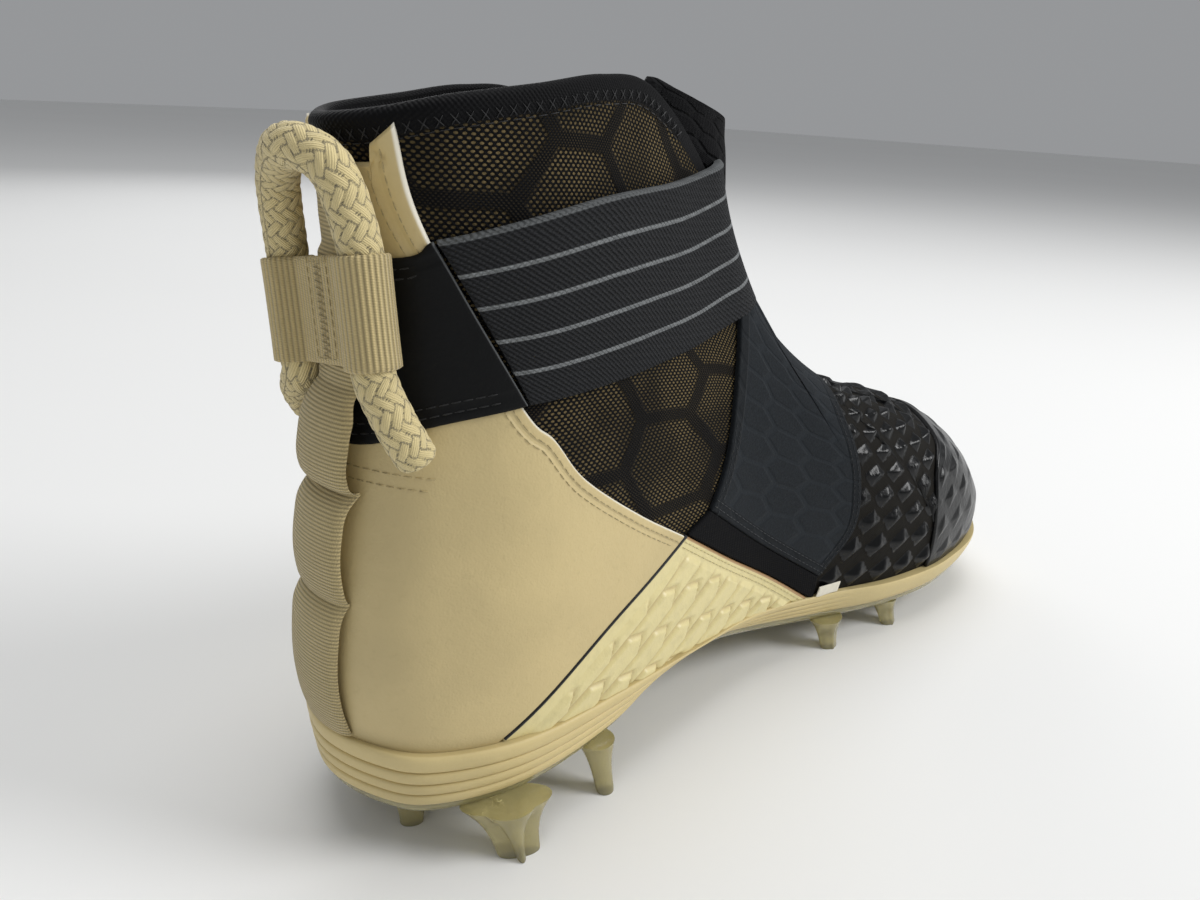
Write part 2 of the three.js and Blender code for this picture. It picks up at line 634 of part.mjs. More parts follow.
function heelQuarter() {
  const cutter = sideCutter([
    edge(QUARTER_BACK),
    ...corners([-0.1, -0.3], [0.076, -0.3]),
    edge(reversed(PIPING)),
    edge(reversed(QUARTER_FRONT)),
  ]);
  return piece('heel_quarter', geometryFrom(skin.intersect(cutter)), material(LEATHER_CREAM, 0.55));
}

function cage(name, side) {
  const cutter = sideCutter([
    edge(PIPING, SEAM_GAP),
    ...corners([0.076, -0.3], [0.56, -0.3]),
    edge(reversed(CAGE_TOP), SEAM_GAP),
  ], side);
  return piece(name, geometryFrom(skin.intersect(cutter)), material(CREAM, 0.35));
}

const strapLayer = layer(CLEARANCE, INSTEP_STRAP_THICKNESS);

function strapGore(name, side) {
  const gap = 2 * SEAM_GAP;
  const cutter = sideCutter([
    edge(CAGE_TOP, gap),
    edge(reversed(INSTEP_FOOT), -SEAM_GAP / 2),
  ], side);
  return piece(name, geometryFrom(strapLayer.intersect(cutter)), material(BLACK, 0.85));
}

function instepCutter(grow = 0) {
  return sideCutter([
    edge(INSTEP_BACK, -grow),
    edge(INSTEP_FOOT, -grow),
    edge(INSTEP_FRONT, grow),
  ]);
}

function instepStrap() {
  return piece('instep_strap', geometryFrom(strapLayer.intersect(instepCutter())), material(0x24262b, 0.9));
}

function toeCap() {
  const cutter = sideCutter([edge(TOE_CAP_BACK), ...corners([1.2, 0.6], [1.2, -0.2])]);
  const cap = layer(CLEARANCE, TOE_CAP_THICKNESS).intersect(cutter);
  return piece('toe_cap', geometryFrom(cap), material(BLACK, 0.25));
}

const PANEL_HEIGHT = CLEARANCE + OVERLAY_THICKNESS + CLEARANCE; // the base panel lies on the quarter
const PANEL_TOP_Z = upTo(PANEL_TOP[1][1]);
const PANEL_BOTTOM_Z = upTo(PANEL_BOTTOM[0][1]);

function ankleStrapBase() {
  const cutter = sideCutter([edge(PANEL_TOP), edge(PANEL_BOTTOM)]);
  const panel = layer(PANEL_HEIGHT, BASE_PANEL_THICKNESS).intersect(cutter);
  return piece('ankle_strap_base', geometryFrom(panel), material(BLACK, 0.5));
}

// The elastic strap starts at the base panel's front edges, goes round the front of the ankle and
// lies over the upper end of the instep strap.
function ankleStrap() {
  const cutter = sideCutter([
    edge(ANKLE_TOP, SEAM_GAP),
    ...corners([0.6, 0.93], [0.6, 0.625]),
    edge(reversed(ANKLE_BOTTOM), SEAM_GAP),
  ]);
  const recess = grownForm(2 * CLEARANCE + INSTEP_STRAP_THICKNESS).intersect(instepCutter(SEAM_GAP));
  const strap = layer(CLEARANCE, ANKLE_STRAP_THICKNESS).intersect(cutter).subtract(recess);
  return piece('ankle_strap', geometryFrom(strap), material(BLACK, 0.8));
}

// The height along the wall at which the form reaches a given z.
function wallShareAt(u, z) {
  let [low, high] = [0, 1];
  for (let k = 0; k < BISECTIONS; k += 1) {
    const middle = (low + high) / 2;
    if (formPoint(u, middle).z < z) low = middle;
    else high = middle;
  }
  return (low + high) / 2;
}

// Where the middle of the heel lies at a height, on the straight runs between the wall's divisions.
const heelPoints = WALL_SHARES.map((v) => formPoint(0, v));
function heelLine(z) {
  const next = Math.max(1, heelPoints.findIndex((point) => point.z > z));
  const [low, high] = [heelPoints[next - 1], heelPoints[next]];
  return THREE.MathUtils.mapLinear(z, low.z, high.z, low.x, high.x);
}

// Heel pull: the cord's legs stand beside the ribbon, just clear of the base panel
const SLEEVE_TOP_Z = upTo(SLEEVE_TOP);
const SLEEVE_BOTTOM_Z = SLEEVE_TOP_Z - SLEEVE_HEIGHT;
const PANEL_FACE = PANEL_HEIGHT + BASE_PANEL_THICKNESS;
const CORD_RADIUS = CORD_DIAMETER / 2;
const SLEEVE_BORE = CORD_RADIUS + 1.5 * CLEARANCE;
const SLEEVE_RADIUS = SLEEVE_BORE + SLEEVE_WALL;
const BOW = LOOP_SPREAD / 2;

const SLEEVE_MIDDLE_Z = (SLEEVE_TOP_Z + SLEEVE_BOTTOM_Z) / 2;
const ROLL = THREE.MathUtils.degToRad(LOOP_ROLL);

// A point of the heel pull, given from the middle of its sleeve before the pull is rolled askew.
function pullPoint(x, y, z) {
  const point = new THREE.Vector3(x, y, z).applyAxisAngle(new THREE.Vector3(1, 0, 0), ROLL);
  return point.add(new THREE.Vector3(0, 0, SLEEVE_MIDDLE_Z));
}

// How far back a sleeved leg has to stand at a place to clear the panel.
function legClear({ y, z }) {
  const height = PANEL_FACE + CLEARANCE + SLEEVE_RADIUS;
  let [low, high] = [0, LEG_STATION / RING_COUNT];
  for (let k = 0; k < BISECTIONS; k += 1) {
    const middle = (low + high) / 2;
    if (-layerPoint(middle, wallShareAt(middle, z), height).y < Math.abs(y)) low = middle;
    else high = middle;
  }
  return layerPoint(low, wallShareAt(low, z), height).x;
}

const legEnds = [-1, 1].flatMap((side) => [-1, 1].map((end) => (
  pullPoint(0, side * BOW, end * SLEEVE_HEIGHT / 2)
)));
const CORD_X = Math.min(...legEnds.map(legClear));

// Centre line of the cord on one side of the heel, from its end on the quarter up beside the arch.
function cordLeg(side) {
  const u = THREE.MathUtils.euclideanModulo(-side * CORD_END.station / RING_COUNT, 1);
  const lift = 2 * CLEARANCE + OVERLAY_THICKNESS + CORD_RADIUS + CORD_END.lift;
  const end = layerPoint(u, wallShareAt(u, upTo(CORD_END.z)), lift);
  const leg = (share) => pullPoint(CORD_X, side * BOW, share * SLEEVE_HEIGHT);
  const low = leg(-0.58);
  const middle = low.clone().lerp(end, 0.5);
  middle.x -= CORD_END.bow;
  middle.y += side * CORD_END.bow;
  return [end, middle, low, leg(-0.3), leg(0.3), leg(0.55)];
}

function pullLoop() {
  const crown = SLEEVE_HEIGHT / 2 + LOOP_RISE - CORD_RADIUS;
  const arch = [-45, 0, 45].map((degrees) => {
    const angle = THREE.MathUtils.degToRad(degrees);
    const share = Math.cos(angle) ** 2;
    return pullPoint(
      CORD_X - LOOP_LEAN * share,
      BOW * Math.sin(angle) - LOOP_SWAY * share,
      crown - BOW * (1 - Math.cos(angle)),
    );
  });
  const path = new THREE.CatmullRomCurve3([...cordLeg(-1), ...arch, ...cordLeg(1).reverse()]);
  const section = new THREE.Shape(Array.from({ length: CORD_SIDES }, (_, k) => {
    const angle = 2 * Math.PI * k / CORD_SIDES;
    return new THREE.Vector2(CORD_RADIUS * Math.cos(angle), CORD_RADIUS * Math.sin(angle));
  }));
  const cord = new THREE.ExtrudeGeometry(section, { steps: CORD_STEPS, extrudePath: path, bevelEnabled: false });
  return piece('pull_loop', cord, material(CREAM, 0.9));
}

// Woven sleeve round both legs of the cord, with a flat web between them that lies on the ribbon.
function loopSleeve() {
  const ribbonBack = PANEL_FACE + 2 * CLEARANCE + RIBBON_THICKNESS;
  const heel = Math.min(heelLine(SLEEVE_TOP_Z), heelLine(SLEEVE_BOTTOM_Z));
  const near = heel - ribbonBack - CORD_X;
  const far = near - SLEEVE_WEB;
  const nearAngle = Math.acos(near / SLEEVE_RADIUS);
  const farAngle = Math.acos(far / SLEEVE_RADIUS);
  const shape = new THREE.Shape();
  shape.absarc(0, BOW, SLEEVE_RADIUS, -nearAngle, 2 * Math.PI - farAngle, false);
  shape.absarc(0, -BOW, SLEEVE_RADIUS, farAngle, 2 * Math.PI + nearAngle, false);
  shape.closePath();
  [-BOW, BOW].forEach((y) => {
    const hole = new THREE.Path();
    hole.absarc(0, y, SLEEVE_BORE, 0, 2 * Math.PI, true);
    shape.holes.push(hole);
  });
  const sleeve = new THREE.ExtrudeGeometry(shape, {
    depth: SLEEVE_HEIGHT,
    bevelEnabled: false,
    curveSegments: SLEEVE_SIDES,
  });
  sleeve.translate(0, 0, -SLEEVE_HEIGHT / 2);
  sleeve.rotateX(ROLL);
  sleeve.translate(CORD_X, 0, SLEEVE_MIDDLE_Z);
  return piece('loop_sleeve', sleeve, material(CREAM, 0.85));
}

// How far the ribbon's inner face stands off the form at a height: flat on the panel and under the
// sleeve, bulged between the folds below it.
function ribbonStand(z) {
  const onPanel = THREE.MathUtils.smoothstep(z, PANEL_BOTTOM_Z - 2 * PANEL_MARGIN, PANEL_BOTTOM_Z - PANEL_MARGIN)
    * (1 - THREE.MathUtils.smoothstep(z, PANEL_TOP_Z + PANEL_MARGIN, PANEL_TOP_Z + 2 * PANEL_MARGIN));
  const backing = THREE.MathUtils.lerp(CLEARANCE + OVERLAY_THICKNESS, PANEL_FACE, onPanel) + CLEARANCE;
  const drop = (SLEEVE_BOTTOM_Z - z) / (SLEEVE_BOTTOM_Z - HEEL_SEAT);
  const fold = RIBBON_FOLDS.findIndex(({ from, to }) => drop >= from && drop < to);
  if (fold < 0) return backing;
  const { from, to, bulge, peak } = RIBBON_FOLDS[fold];
  const share = (drop - from) / (to - from);
  const place = share < peak ? share / peak / 2 : 0.5 + (share - peak) / (1 - peak) / 2;
  return backing + bulge * RIBBON_BULGE * (1 - Math.abs(2 * place - 1) ** 3);
}

// Half the ribbon's width at a height: it narrows below the sleeve and again at its upper end.
function ribbonHalf(z, top) {
  const neck = THREE.MathUtils.smoothstep(z, SLEEVE_BOTTOM_Z - 2 * NECK_RUN, SLEEVE_BOTTOM_Z - NECK_RUN);
  const end = THREE.MathUtils.smoothstep(z, top - NECK_RUN, top);
  return THREE.MathUtils.lerp(RIBBON_WIDTH, RIBBON_NECK, neck) / 2 * (1 - RIBBON_END_CUT * end);
}

function heelRibbon() {
  const top = upTo(RIBBON_TOP);
  const bottom = HEEL_SEAT + 2 * CLEARANCE;
  const columns = 2 * RIBBON_HALF_STEPS;
  const grid = (inner) => Array.from({ length: columns + 1 }, (_, k) => (
    Array.from({ length: RIBBON_STEPS + 1 }, (__, i) => {
      const z = THREE.MathUtils.lerp(bottom, top, i / RIBBON_STEPS);
      const y = ribbonHalf(z, top) * (1 - 2 * k / columns);
      const stand = ribbonStand(z) + (inner ? 0 : RIBBON_THICKNESS);
      return new THREE.Vector3(heelLine(z) - stand + y * y / (2 * RIBBON_BEND), y, z);
    })
  ));
  return piece('heel_ribbon', shellSolid(grid(false), grid(true), false), material(CREAM, 0.9));
}

// The shoe, with its origin under the middle of its bounding box
const cleat = new THREE.Group();
cleat.name = 'cleat';

const bottomUnit = new THREE.Group();
bottomUnit.add(outsole(), midsole(), insole());

const shell = new THREE.Group();
shell.add(upper(), tongue(), heelQuarter(), toeCap());
shell.add(cage('medial_cage', -1), cage('lateral_cage', 1));

const straps = new THREE.Group();
straps.add(ankleStrapBase(), ankleStrap(), instepStrap());
straps.add(strapGore('medial_strap_gore', -1), strapGore('lateral_strap_gore', 1));

const heelPull = new THREE.Group();
heelPull.add(pullLoop(), loopSleeve(), heelRibbon());

cleat.add(bottomUnit, shell, straps, heelPull);
cleat.updateMatrixWorld(true);
const box = new THREE.Box3().setFromObject(cleat);
cleat.position.set(-(box.min.x + box.max.x) / 2, -(box.min.y + box.max.y) / 2, -box.min.z);

export default cleat;
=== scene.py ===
"""Looks and fine pieces of a high-cut football cleat for the left foot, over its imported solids."""

import json
import math

import bmesh
import bpy
import numpy as np
from mathutils import Matrix, Vector
from mathutils.kdtree import KDTree

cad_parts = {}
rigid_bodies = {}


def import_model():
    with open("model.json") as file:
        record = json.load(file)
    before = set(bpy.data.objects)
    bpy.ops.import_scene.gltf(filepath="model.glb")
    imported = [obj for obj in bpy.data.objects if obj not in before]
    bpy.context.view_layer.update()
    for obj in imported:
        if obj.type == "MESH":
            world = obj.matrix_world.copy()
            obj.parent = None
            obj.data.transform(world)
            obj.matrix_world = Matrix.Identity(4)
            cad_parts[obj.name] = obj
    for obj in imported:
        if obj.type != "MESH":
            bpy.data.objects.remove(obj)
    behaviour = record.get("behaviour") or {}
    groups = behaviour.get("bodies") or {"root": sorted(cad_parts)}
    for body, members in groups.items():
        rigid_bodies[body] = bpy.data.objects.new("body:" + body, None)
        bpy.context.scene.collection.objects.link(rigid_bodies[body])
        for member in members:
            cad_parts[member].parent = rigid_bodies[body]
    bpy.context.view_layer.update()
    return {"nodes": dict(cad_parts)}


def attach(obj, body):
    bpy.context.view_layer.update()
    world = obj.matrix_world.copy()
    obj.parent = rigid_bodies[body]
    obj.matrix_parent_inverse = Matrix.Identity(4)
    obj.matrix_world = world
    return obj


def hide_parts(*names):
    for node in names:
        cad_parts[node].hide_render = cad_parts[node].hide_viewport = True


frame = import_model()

bl_info = {
    "name": "Football cleat",
    "version": (1, 0, 0),
    "blender": (4, 5, 0),
    "location": "3D View > Sidebar > Cleat",
    "description": "Builds the upper, straps, heel pull and sole of a high-cut football cleat",
    "category": "Add Mesh",
}

# The last's own sizes in millimetres, from heel to toe, before the origin moves to the box's middle
SOLE_LENGTH, SOLE_WIDTH = 309.0, 94.0
STUD_LENGTH, ARCH_LIFT, PLATE_THICKNESS, PLATE_ROUND = 9.0, 12.0, 4.5, 3.5
HEEL_STACK, RIB_DEPTH = 17.0, 1.1
UPPER_HEIGHT, ANKLE_WIDTH, COLLAR_TILT = 158.0, 60.0, 3.5
WALL, PADDING, CLEAR = 2.2, 2.4, 0.3
TONGUE_DEPTH, TONGUE_THICKNESS = 3.4, 5.0
ORIGIN = np.array([-153.056, -3.528, 0.0])
MM = 0.001
# The step of the search for a place on the last, and v at its ridge
PROBE, RIDGE_V = 1e-4, 2.0
# Thicknesses of the laid-on materials, the ease of the two straps over the top line, and the ankle's middle
LEATHER, FILM, SUEDE, GORE_CLOTH, ELASTIC, BASE_LEATHER = 1.3, 1.25, 1.4, 1.3, 2.8, 1.0
INSTEP_EASE, ANKLE_EASE = 0.12, 0.16
ANKLE_X, ANKLE_ROUND = 85.0, 1.4
# Heights over the last at which the stitches lie on each material, and the ends of a tack under the cord
ON_LEATHER, ON_FILM, ON_SUEDE, ON_BASE = 1.68, 1.7, 1.78, 2.98
TACK = np.array([(9.0, 105.0), (21.5, 104.0)])
SIDES = (("medial", -1), ("lateral", 1))

# Side of the sole: share of the length, lift of the arch, stack, tuck of the underside
SIDE_PROFILE = np.array([
    [0.0, 0.35, 1.0, 0.025],
    [0.05, 0.28, 0.96, 0.025],
    [0.13, 0.25, 0.9, 0.03],
    [0.243, 0.42, 0.74, 0.04],
    [0.307, 0.75, 0.47, 0.06],
    [0.356, 0.9, 0.32, 0.065],
    [0.42, 0.75, 0.36, 0.06],
    [0.485, 0.45, 0.48, 0.05],
    [0.583, 0.12, 0.56, 0.035],
    [0.696, 0.0, 0.52, 0.03],
    [0.8, 0.0, 0.52, 0.03],
    [0.906, 0.2, 0.52, 0.035],
    [1.0, 0.65, 0.44, 0.04],
])

# Outline of the sole: share of the length, medial and lateral half width
OUTLINE = np.array([
    [0.0, 0.0, 0.0],
    [0.015, 0.181, 0.181],
    [0.049, 0.309, 0.309],
    [0.129, 0.394, 0.399],
    [0.243, 0.388, 0.431],
    [0.356, 0.351, 0.457],
    [0.469, 0.314, 0.495],
    [0.583, 0.356, 0.537],
    [0.693, 0.447, 0.553],
    [0.806, 0.479, 0.495],
    [0.916, 0.404, 0.34],
    [1.0, 0.074, -0.074],
])

# Stations of the last: x, medial, lateral, bulge, rise, top x, top medial, top lateral, top z,
# lean, lift, swell, ridge x, ridge z, padding
STATIONS = np.array([
    [0.011, 0.0, 0.0, 0.074, 0.29, 0.029, 0.0, 0.0, 0.928, 1.0, 0.62, -0.17, 0.042, 0.928, 1],
    [0.023, 0.149, 0.149, 0.074, 0.29, 0.042, 0.233, 0.242, 0.937, 1.0, 0.62, -0.191, 0.056, 0.937, 1],
    [0.058, 0.277, 0.277, 0.064, 0.28, 0.078, 0.4, 0.442, 0.957, 1.0, 0.6, -0.16, 0.091, 0.957, 0.8],
    [0.136, 0.356, 0.362, 0.064, 0.27, 0.146, 0.467, 0.5, 0.98, 1.0, 0.6, -0.043, 0.155, 0.968, 0.5],
    [0.243, 0.351, 0.394, 0.043, 0.25, 0.207, 0.45, 0.483, 0.998, 0.95, 0.6, 0.021, 0.252, 0.978, 0.3],
    [0.356, 0.314, 0.415, 0.043, 0.24, 0.265, 0.39, 0.433, 0.99, 0.92, 0.6, 0.032, 0.42, 0.968, 0.1],
    [0.469, 0.282, 0.457, 0.053, 0.23, 0.34, 0.3, 0.333, 0.905, 0.9, 0.6, 0.043, 0.447, 0.905, 0],
    [0.583, 0.33, 0.5, 0.064, 0.22, 0.398, 0.25, 0.283, 0.785, 0.85, 0.62, 0.064, 0.452, 0.785, 0],
    [0.696, 0.41, 0.516, 0.064, 0.2, 0.432, 0.217, 0.233, 0.652, 0.72, 0.69, 0.08, 0.451, 0.652, 0],
    [0.803, 0.436, 0.457, 0.074, 0.19, 0.474, 0.167, 0.183, 0.54, 0.56, 0.71, 0.064, 0.49, 0.54, 0],
    [0.906, 0.362, 0.309, 0.096, 0.18, 0.526, 0.1, 0.117, 0.445, 0.44, 0.76, 0.053, 0.534, 0.455, 0],
    [0.981, 0.064, -0.064, 0.106, 0.17, 0.553, 0.0, 0.0, 0.412, 0.36, 0.79, 0.032, 0.56, 0.418, 0],
])
RING = 2 * (len(STATIONS) - 1)
COLLAR_CORNER = 5

# Seams in the side view, x as a share of the length and z of the height above the heel seat
QUARTER_FRONT = [(0.052, 0.925), (0.074, 0.778), (0.131, 0.538), (0.156, 0.481), (0.186, 0.405),
                 (0.252, 0.31), (0.32, 0.228)]
QUARTER_BACK = [(0.052, 0.925), (0.044, 0.895), (0.04, 0.87), (-0.1, 0.845)]
PIPING = [(0.32, 0.228), (0.19, 0.1), (0.076, -0.06)]
CAGE_TOP = [(0.32, 0.228), (0.4, 0.128), (0.482, 0.032), (0.56, -0.07)]
PANEL_TOP = [(0.077, 0.775), (0.05, 0.745), (-0.1, 0.72)]
PANEL_BOTTOM = [(-0.1, 0.44), (0.026, 0.468), (0.071, 0.512), (0.134, 0.54)]
ANKLE_TOP = [(0.077, 0.775), (0.2, 0.83), (0.34, 0.855), (0.5, 0.93)]
ANKLE_BOTTOM = [(0.134, 0.54), (0.25, 0.56), (0.337, 0.575), (0.414, 0.6), (0.52, 0.61)]
INSTEP_BACK = [(0.414, 0.66), (0.398, 0.411), (0.385, 0.323), (0.362, 0.253)]
INSTEP_FOOT = [(0.362, 0.253), (0.456, 0.127), (0.563, -0.006)]
INSTEP_FRONT = [(0.563, -0.006), (0.602, 0.095), (0.6, 0.215), (0.586, 0.31), (0.566, 0.4), (0.52, 0.7)]
TOE_CAP_BACK = [(0.76, -0.2), (0.757, -0.045), (0.752, 0.108), (0.77, 0.2), (0.85, 0.28), (0.93, 0.4)]

# Studs: x, y, tip length, tip width, flare along and across, splay, turn, bladed
STUDS = [
    (0.062, -0.13, 0.7, 0.36, 0.5, 0.35, 0.0, -29, False),
    (0.062, 0.13, 0.7, 0.36, 0.5, 0.35, 0.0, 29, False),
    (0.113, -0.42, 1.28, 0.45, 0.75, 0.4, 0.6, -24, True),
    (0.113, 0.43, 1.28, 0.45, 0.75, 0.4, 0.6, 24, True),
    (0.223, -0.387, 0.62, 0.55, 0.32, 0.3, 0.5, 0, False),
    (0.223, 0.42, 0.62, 0.55, 0.32, 0.3, 0.5, 0, False),
    (0.607, -0.345, 0.8, 0.5, 0.4, 0.3, 0.3, -10, True),
    (0.59, 0.47, 0.8, 0.5, 0.4, 0.3, 0.4, 10, True),
    (0.717, -0.394, 0.8, 0.5, 0.4, 0.3, 0.4, -5, True),
    (0.715, 0.475, 0.8, 0.5, 0.4, 0.3, 0.4, 5, True),
    (0.838, 0.375, 0.8, 0.5, 0.4, 0.3, 0.3, -15, True),
    (0.905, -0.06, 0.8, 0.6, 0.35, 0.3, 0.0, 90, False),
]

# Heel pull
CORD_RADIUS, BOW, SLEEVE_HEIGHT, SLEEVE_RADIUS = 4.7, 17.0, 24.0, 6.05
CORD_X, SLEEVE_MIDDLE_Z, SLEEVE_RIB = 8.42, 140.24, 1.25
WEB_STAND, WEB_THICKNESS = 4.9, 2.0
LOOP_RISE, LOOP_LEAN, LOOP_SWAY, LOOP_ROLL = 27.3, 6.5, 4.8, math.radians(-9)
RIBBON_WIDTH, RIBBON_NECK, RIBBON_THICKNESS, RIBBON_BULGE, RIBBON_BEND = 22.0, 18.0, 1.4, 4.0, 30.0


def soft_step(value, low, high):
    t = np.clip((value - low) / (high - low), 0, 1)
    return t * t * (3 - 2 * t)


def unit(vectors):
    return vectors / np.maximum(np.linalg.norm(vectors, axis=-1), 1e-9)[..., None]


def length_along(line):
    """How far along a line of points each point lies."""
    return np.concatenate([[0], np.cumsum(np.linalg.norm(np.diff(line, axis=0), axis=-1))])


def between(a, b, c, d, f):
    """The smooth curve from b to c at shares f, with a before them and d after."""
    bend, twist = 2 * a - 5 * b + 4 * c - d, 3 * b - a - 3 * c + d
    return 0.5 * (2 * b + (c - a) * f + bend * f * f + twist * f ** 3)


def arc_between(start, end, leaving, arriving, t):
    """The curve from start to end at shares t that leaves and arrives in given directions."""
    return ((2 * t ** 3 - 3 * t ** 2 + 1) * start + (t ** 3 - 2 * t ** 2 + t) * leaving
            + (3 * t ** 2 - 2 * t ** 3) * end + (t ** 3 - t ** 2) * arriving)


def side_view(points):
    return points[..., [0, 2]]


def homed(read, target, u, v, rounds, least, turned=3.0):
    """The u and v at which read gives the target, stepped there from places close by."""
    for _ in range(rounds):
        here = read(u, v)
        back = np.where(v > turned, -PROBE, PROBE)
        du, dv = (read(u + PROBE, v) - here) / PROBE, (read(u, v + back) - here) / back[..., None]
        gap = target - here
        size = du[..., 0] * dv[..., 1] - du[..., 1] * dv[..., 0]
        size = np.where(np.abs(size) < least, least, size)
        u = u + np.clip((gap[..., 0] * dv[..., 1] - gap[..., 1] * dv[..., 0]) / size, -0.01, 0.01)
        up = np.clip((du[..., 0] * gap[..., 1] - du[..., 1] * gap[..., 0]) / size, -0.03, 0.03)
        v = np.clip(v + up, 0, RIDGE_V)
    return u, v


# Sole and last as surfaces

def cubic(xs, rows, x):
    """The smooth curve through table rows, with straight ends."""
    x = np.clip(np.asarray(x, float), xs[0], xs[-1])
    i = np.clip(np.searchsorted(xs, x, side="right"), 1, len(xs) - 1)
    last = len(xs) - 1
    before = np.where(i - 2 < 0, i, i - 2)
    after = np.where(i + 1 > last, i - 1, i + 1)
    t0, t1 = xs[i - 1], xs[i]
    previous = np.where(i - 2 < 0, t1, xs[np.maximum(i - 2, 0)])
    following = np.where(i + 1 > last, t0, xs[np.minimum(i + 1, last)])
    half = (t1 - t0) / 2
    wp, wn = half / (t0 - previous), half / (following - t1)
    p = (x - t0) / (t1 - t0)
    pp, ppp = p * p, p * p * p
    sp = -wp * ppp + 2 * wp * pp - wp * p
    s0 = (1 + wp) * ppp + (-1.5 - 2 * wp) * pp + (-0.5 + wp) * p + 1
    s1 = (-1 - wn) * ppp + (1.5 + wn) * pp + 0.5 * p
    sn = wn * ppp - wn * pp
    weights = [w[..., None] for w in (sp, s0, s1, sn)]
    return sum(w * rows[k] for w, k in zip(weights, (before, i - 1, i, after)))


def sole_at(x):
    """Underside, midsole base and top, stack share and tuck at a distance from the heel."""
    lift, stack, tuck = np.moveaxis(cubic(SIDE_PROFILE[:, 0], SIDE_PROFILE[:, 1:], x / SOLE_LENGTH), -1, 0)
    underside = STUD_LENGTH + lift * ARCH_LIFT
    base = underside + PLATE_THICKNESS + CLEAR
    return underside, base, base + stack * HEEL_STACK, stack, tuck * SOLE_WIDTH


HEEL_SEAT = float(sole_at(np.array([0.0]))[2][0])


def up_to(share):
    return HEEL_SEAT + share * UPPER_HEIGHT


def ring_of(rows, place):
    """One point a station, down the medial side and back up the lateral side."""
    medial = [place(row, -1) for row in rows]
    lateral = [place(row, 1) for row in rows[-2:0:-1]]
    return np.array(medial + lateral, float)


def round_ring(points, t):
    """The closed smooth curve through ring points, once round for t from 0 to 1."""
    count = len(points)
    s = (np.asarray(t, float) % 1) * count
    i = np.floor(s).astype(int)
    f = (s - i)[..., None]
    a, b, c, d = (points[(i + k) % count] for k in (-1, 0, 1, 2))
    return between(a, b, c, d, f)


def feather_place(row, side):
    x = row[0] * SOLE_LENGTH
    y = (-row[1] if side < 0 else row[2]) * SOLE_WIDTH
    return x, y, float(sole_at(np.array([x]))[2][0]) + CLEAR


def top_place(row, side):
    y = (-row[6] if side < 0 else row[7]) * ANKLE_WIDTH
    return row[5] * SOLE_LENGTH, y, up_to(row[8]) - COLLAR_TILT * max(y, 0) / (ANKLE_WIDTH / 2)


SOLE_RING = ring_of(OUTLINE, lambda row, side: (
    row[0] * SOLE_LENGTH, (-row[1] if side < 0 else row[2]) * SOLE_WIDTH, 0.0))
FEATHER = ring_of(STATIONS, feather_place)
TOP_LINE = ring_of(STATIONS, top_place)
RIDGE = ring_of(STATIONS, lambda row, side: (row[12] * SOLE_LENGTH, 0.0, up_to(row[13])))
ROWS = np.array(list(STATIONS) + list(STATIONS[-2:0:-1]))
NEIGHBOURS = np.roll(FEATHER, -1, 0) - np.roll(FEATHER, 1, 0)
OUTWARD = unit(np.stack([NEIGHBOURS[:, 1], -NEIGHBOURS[:, 0], 0 * NEIGHBOURS[:, 0]], 1))
LOWER = FEATHER + OUTWARD * ROWS[:, 3, None] * SOLE_WIDTH
LOWER[:, 2] = FEATHER[:, 2] + ROWS[:, 4] * UPPER_HEIGHT
UPPER = FEATHER + (TOP_LINE - FEATHER) * ROWS[:, 9, None] + OUTWARD * ROWS[:, 11, None] * SOLE_WIDTH
UPPER[:, 2] = FEATHER[:, 2] + (TOP_LINE[:, 2] - FEATHER[:, 2]) * ROWS[:, 10]


def form(u, v):
    """A point of the last: u round from the heel, v up the wall to 1 and over the front to 2 and beyond."""
    u, v = np.broadcast_arrays(np.asarray(u, float), np.asarray(v, float))
    over = v > 2
    u, v = np.where(over, -u, u), np.where(over, 4 - v, v)
    foot, low, high, top, end = (round_ring(r, u) for r in (FEATHER, LOWER, UPPER, TOP_LINE, RIDGE))
    t = np.clip(v, 0, 1)[..., None]
    wall = foot * (1 - t) ** 3 + 3 * low * t * (1 - t) ** 2 + 3 * high * t * t * (1 - t) + top * t ** 3
    turn = np.clip(v - 1, 0, 1)[..., None] * math.pi / 2
    rise, fall = np.sin(turn), 1 - np.cos(turn)
    mix = np.concatenate([rise, fall, rise], -1)
    return np.where(v[..., None] <= 1, wall, top + (end - top) * mix)


def facing(u, v, reach=0.02):
    """The outward normal of the last, eased over the crease at the top line."""
    across = form(u + 0.002, v) - form(u - 0.002, v)
    up = form(u, v + reach) - form(u, np.maximum(v - reach, 0))
    return unit(np.cross(across, up))


def wall_facing(u, v):
    """The normal of the wall alone, for edges that end at the top line."""
    low, high = np.clip(v - 0.01, 0, 1), np.clip(v + 0.01, 0, 1)
    return unit(np.cross(form(u + 0.002, v) - form(u - 0.002, v), form(u, high) - form(u, low)))


def lay(u, v, height):
    return form(u, v) + facing(u, v) * np.asarray(height)[..., None]


def eased(u, v, reach):
    """The last with its crease at the top line rounded over a reach in v, as a strap bridges it."""
    if not reach:
        return form(u, v)
    u, v = np.broadcast_arrays(np.asarray(u, float), np.asarray(v, float))
    reach = reach * soft_step(station_of(u), COLLAR_CORNER - 0.1, COLLAR_CORNER + 0.9) + 1e-6

    def mean(at):
        spread = np.maximum(reach - np.abs(at - 1), 0)
        return sum(form(u, at + spread * k) for k in (-1, -0.5, 0, 0.5, 1)) / 5

    crest = np.ones_like(v)
    proud = form(u, crest) - mean(crest)
    near = np.cos(math.pi / 2 * np.clip(np.abs(v - 1) / (1.8 * reach), 0, 1)) ** 2
    return mean(v) + proud * near[..., None]


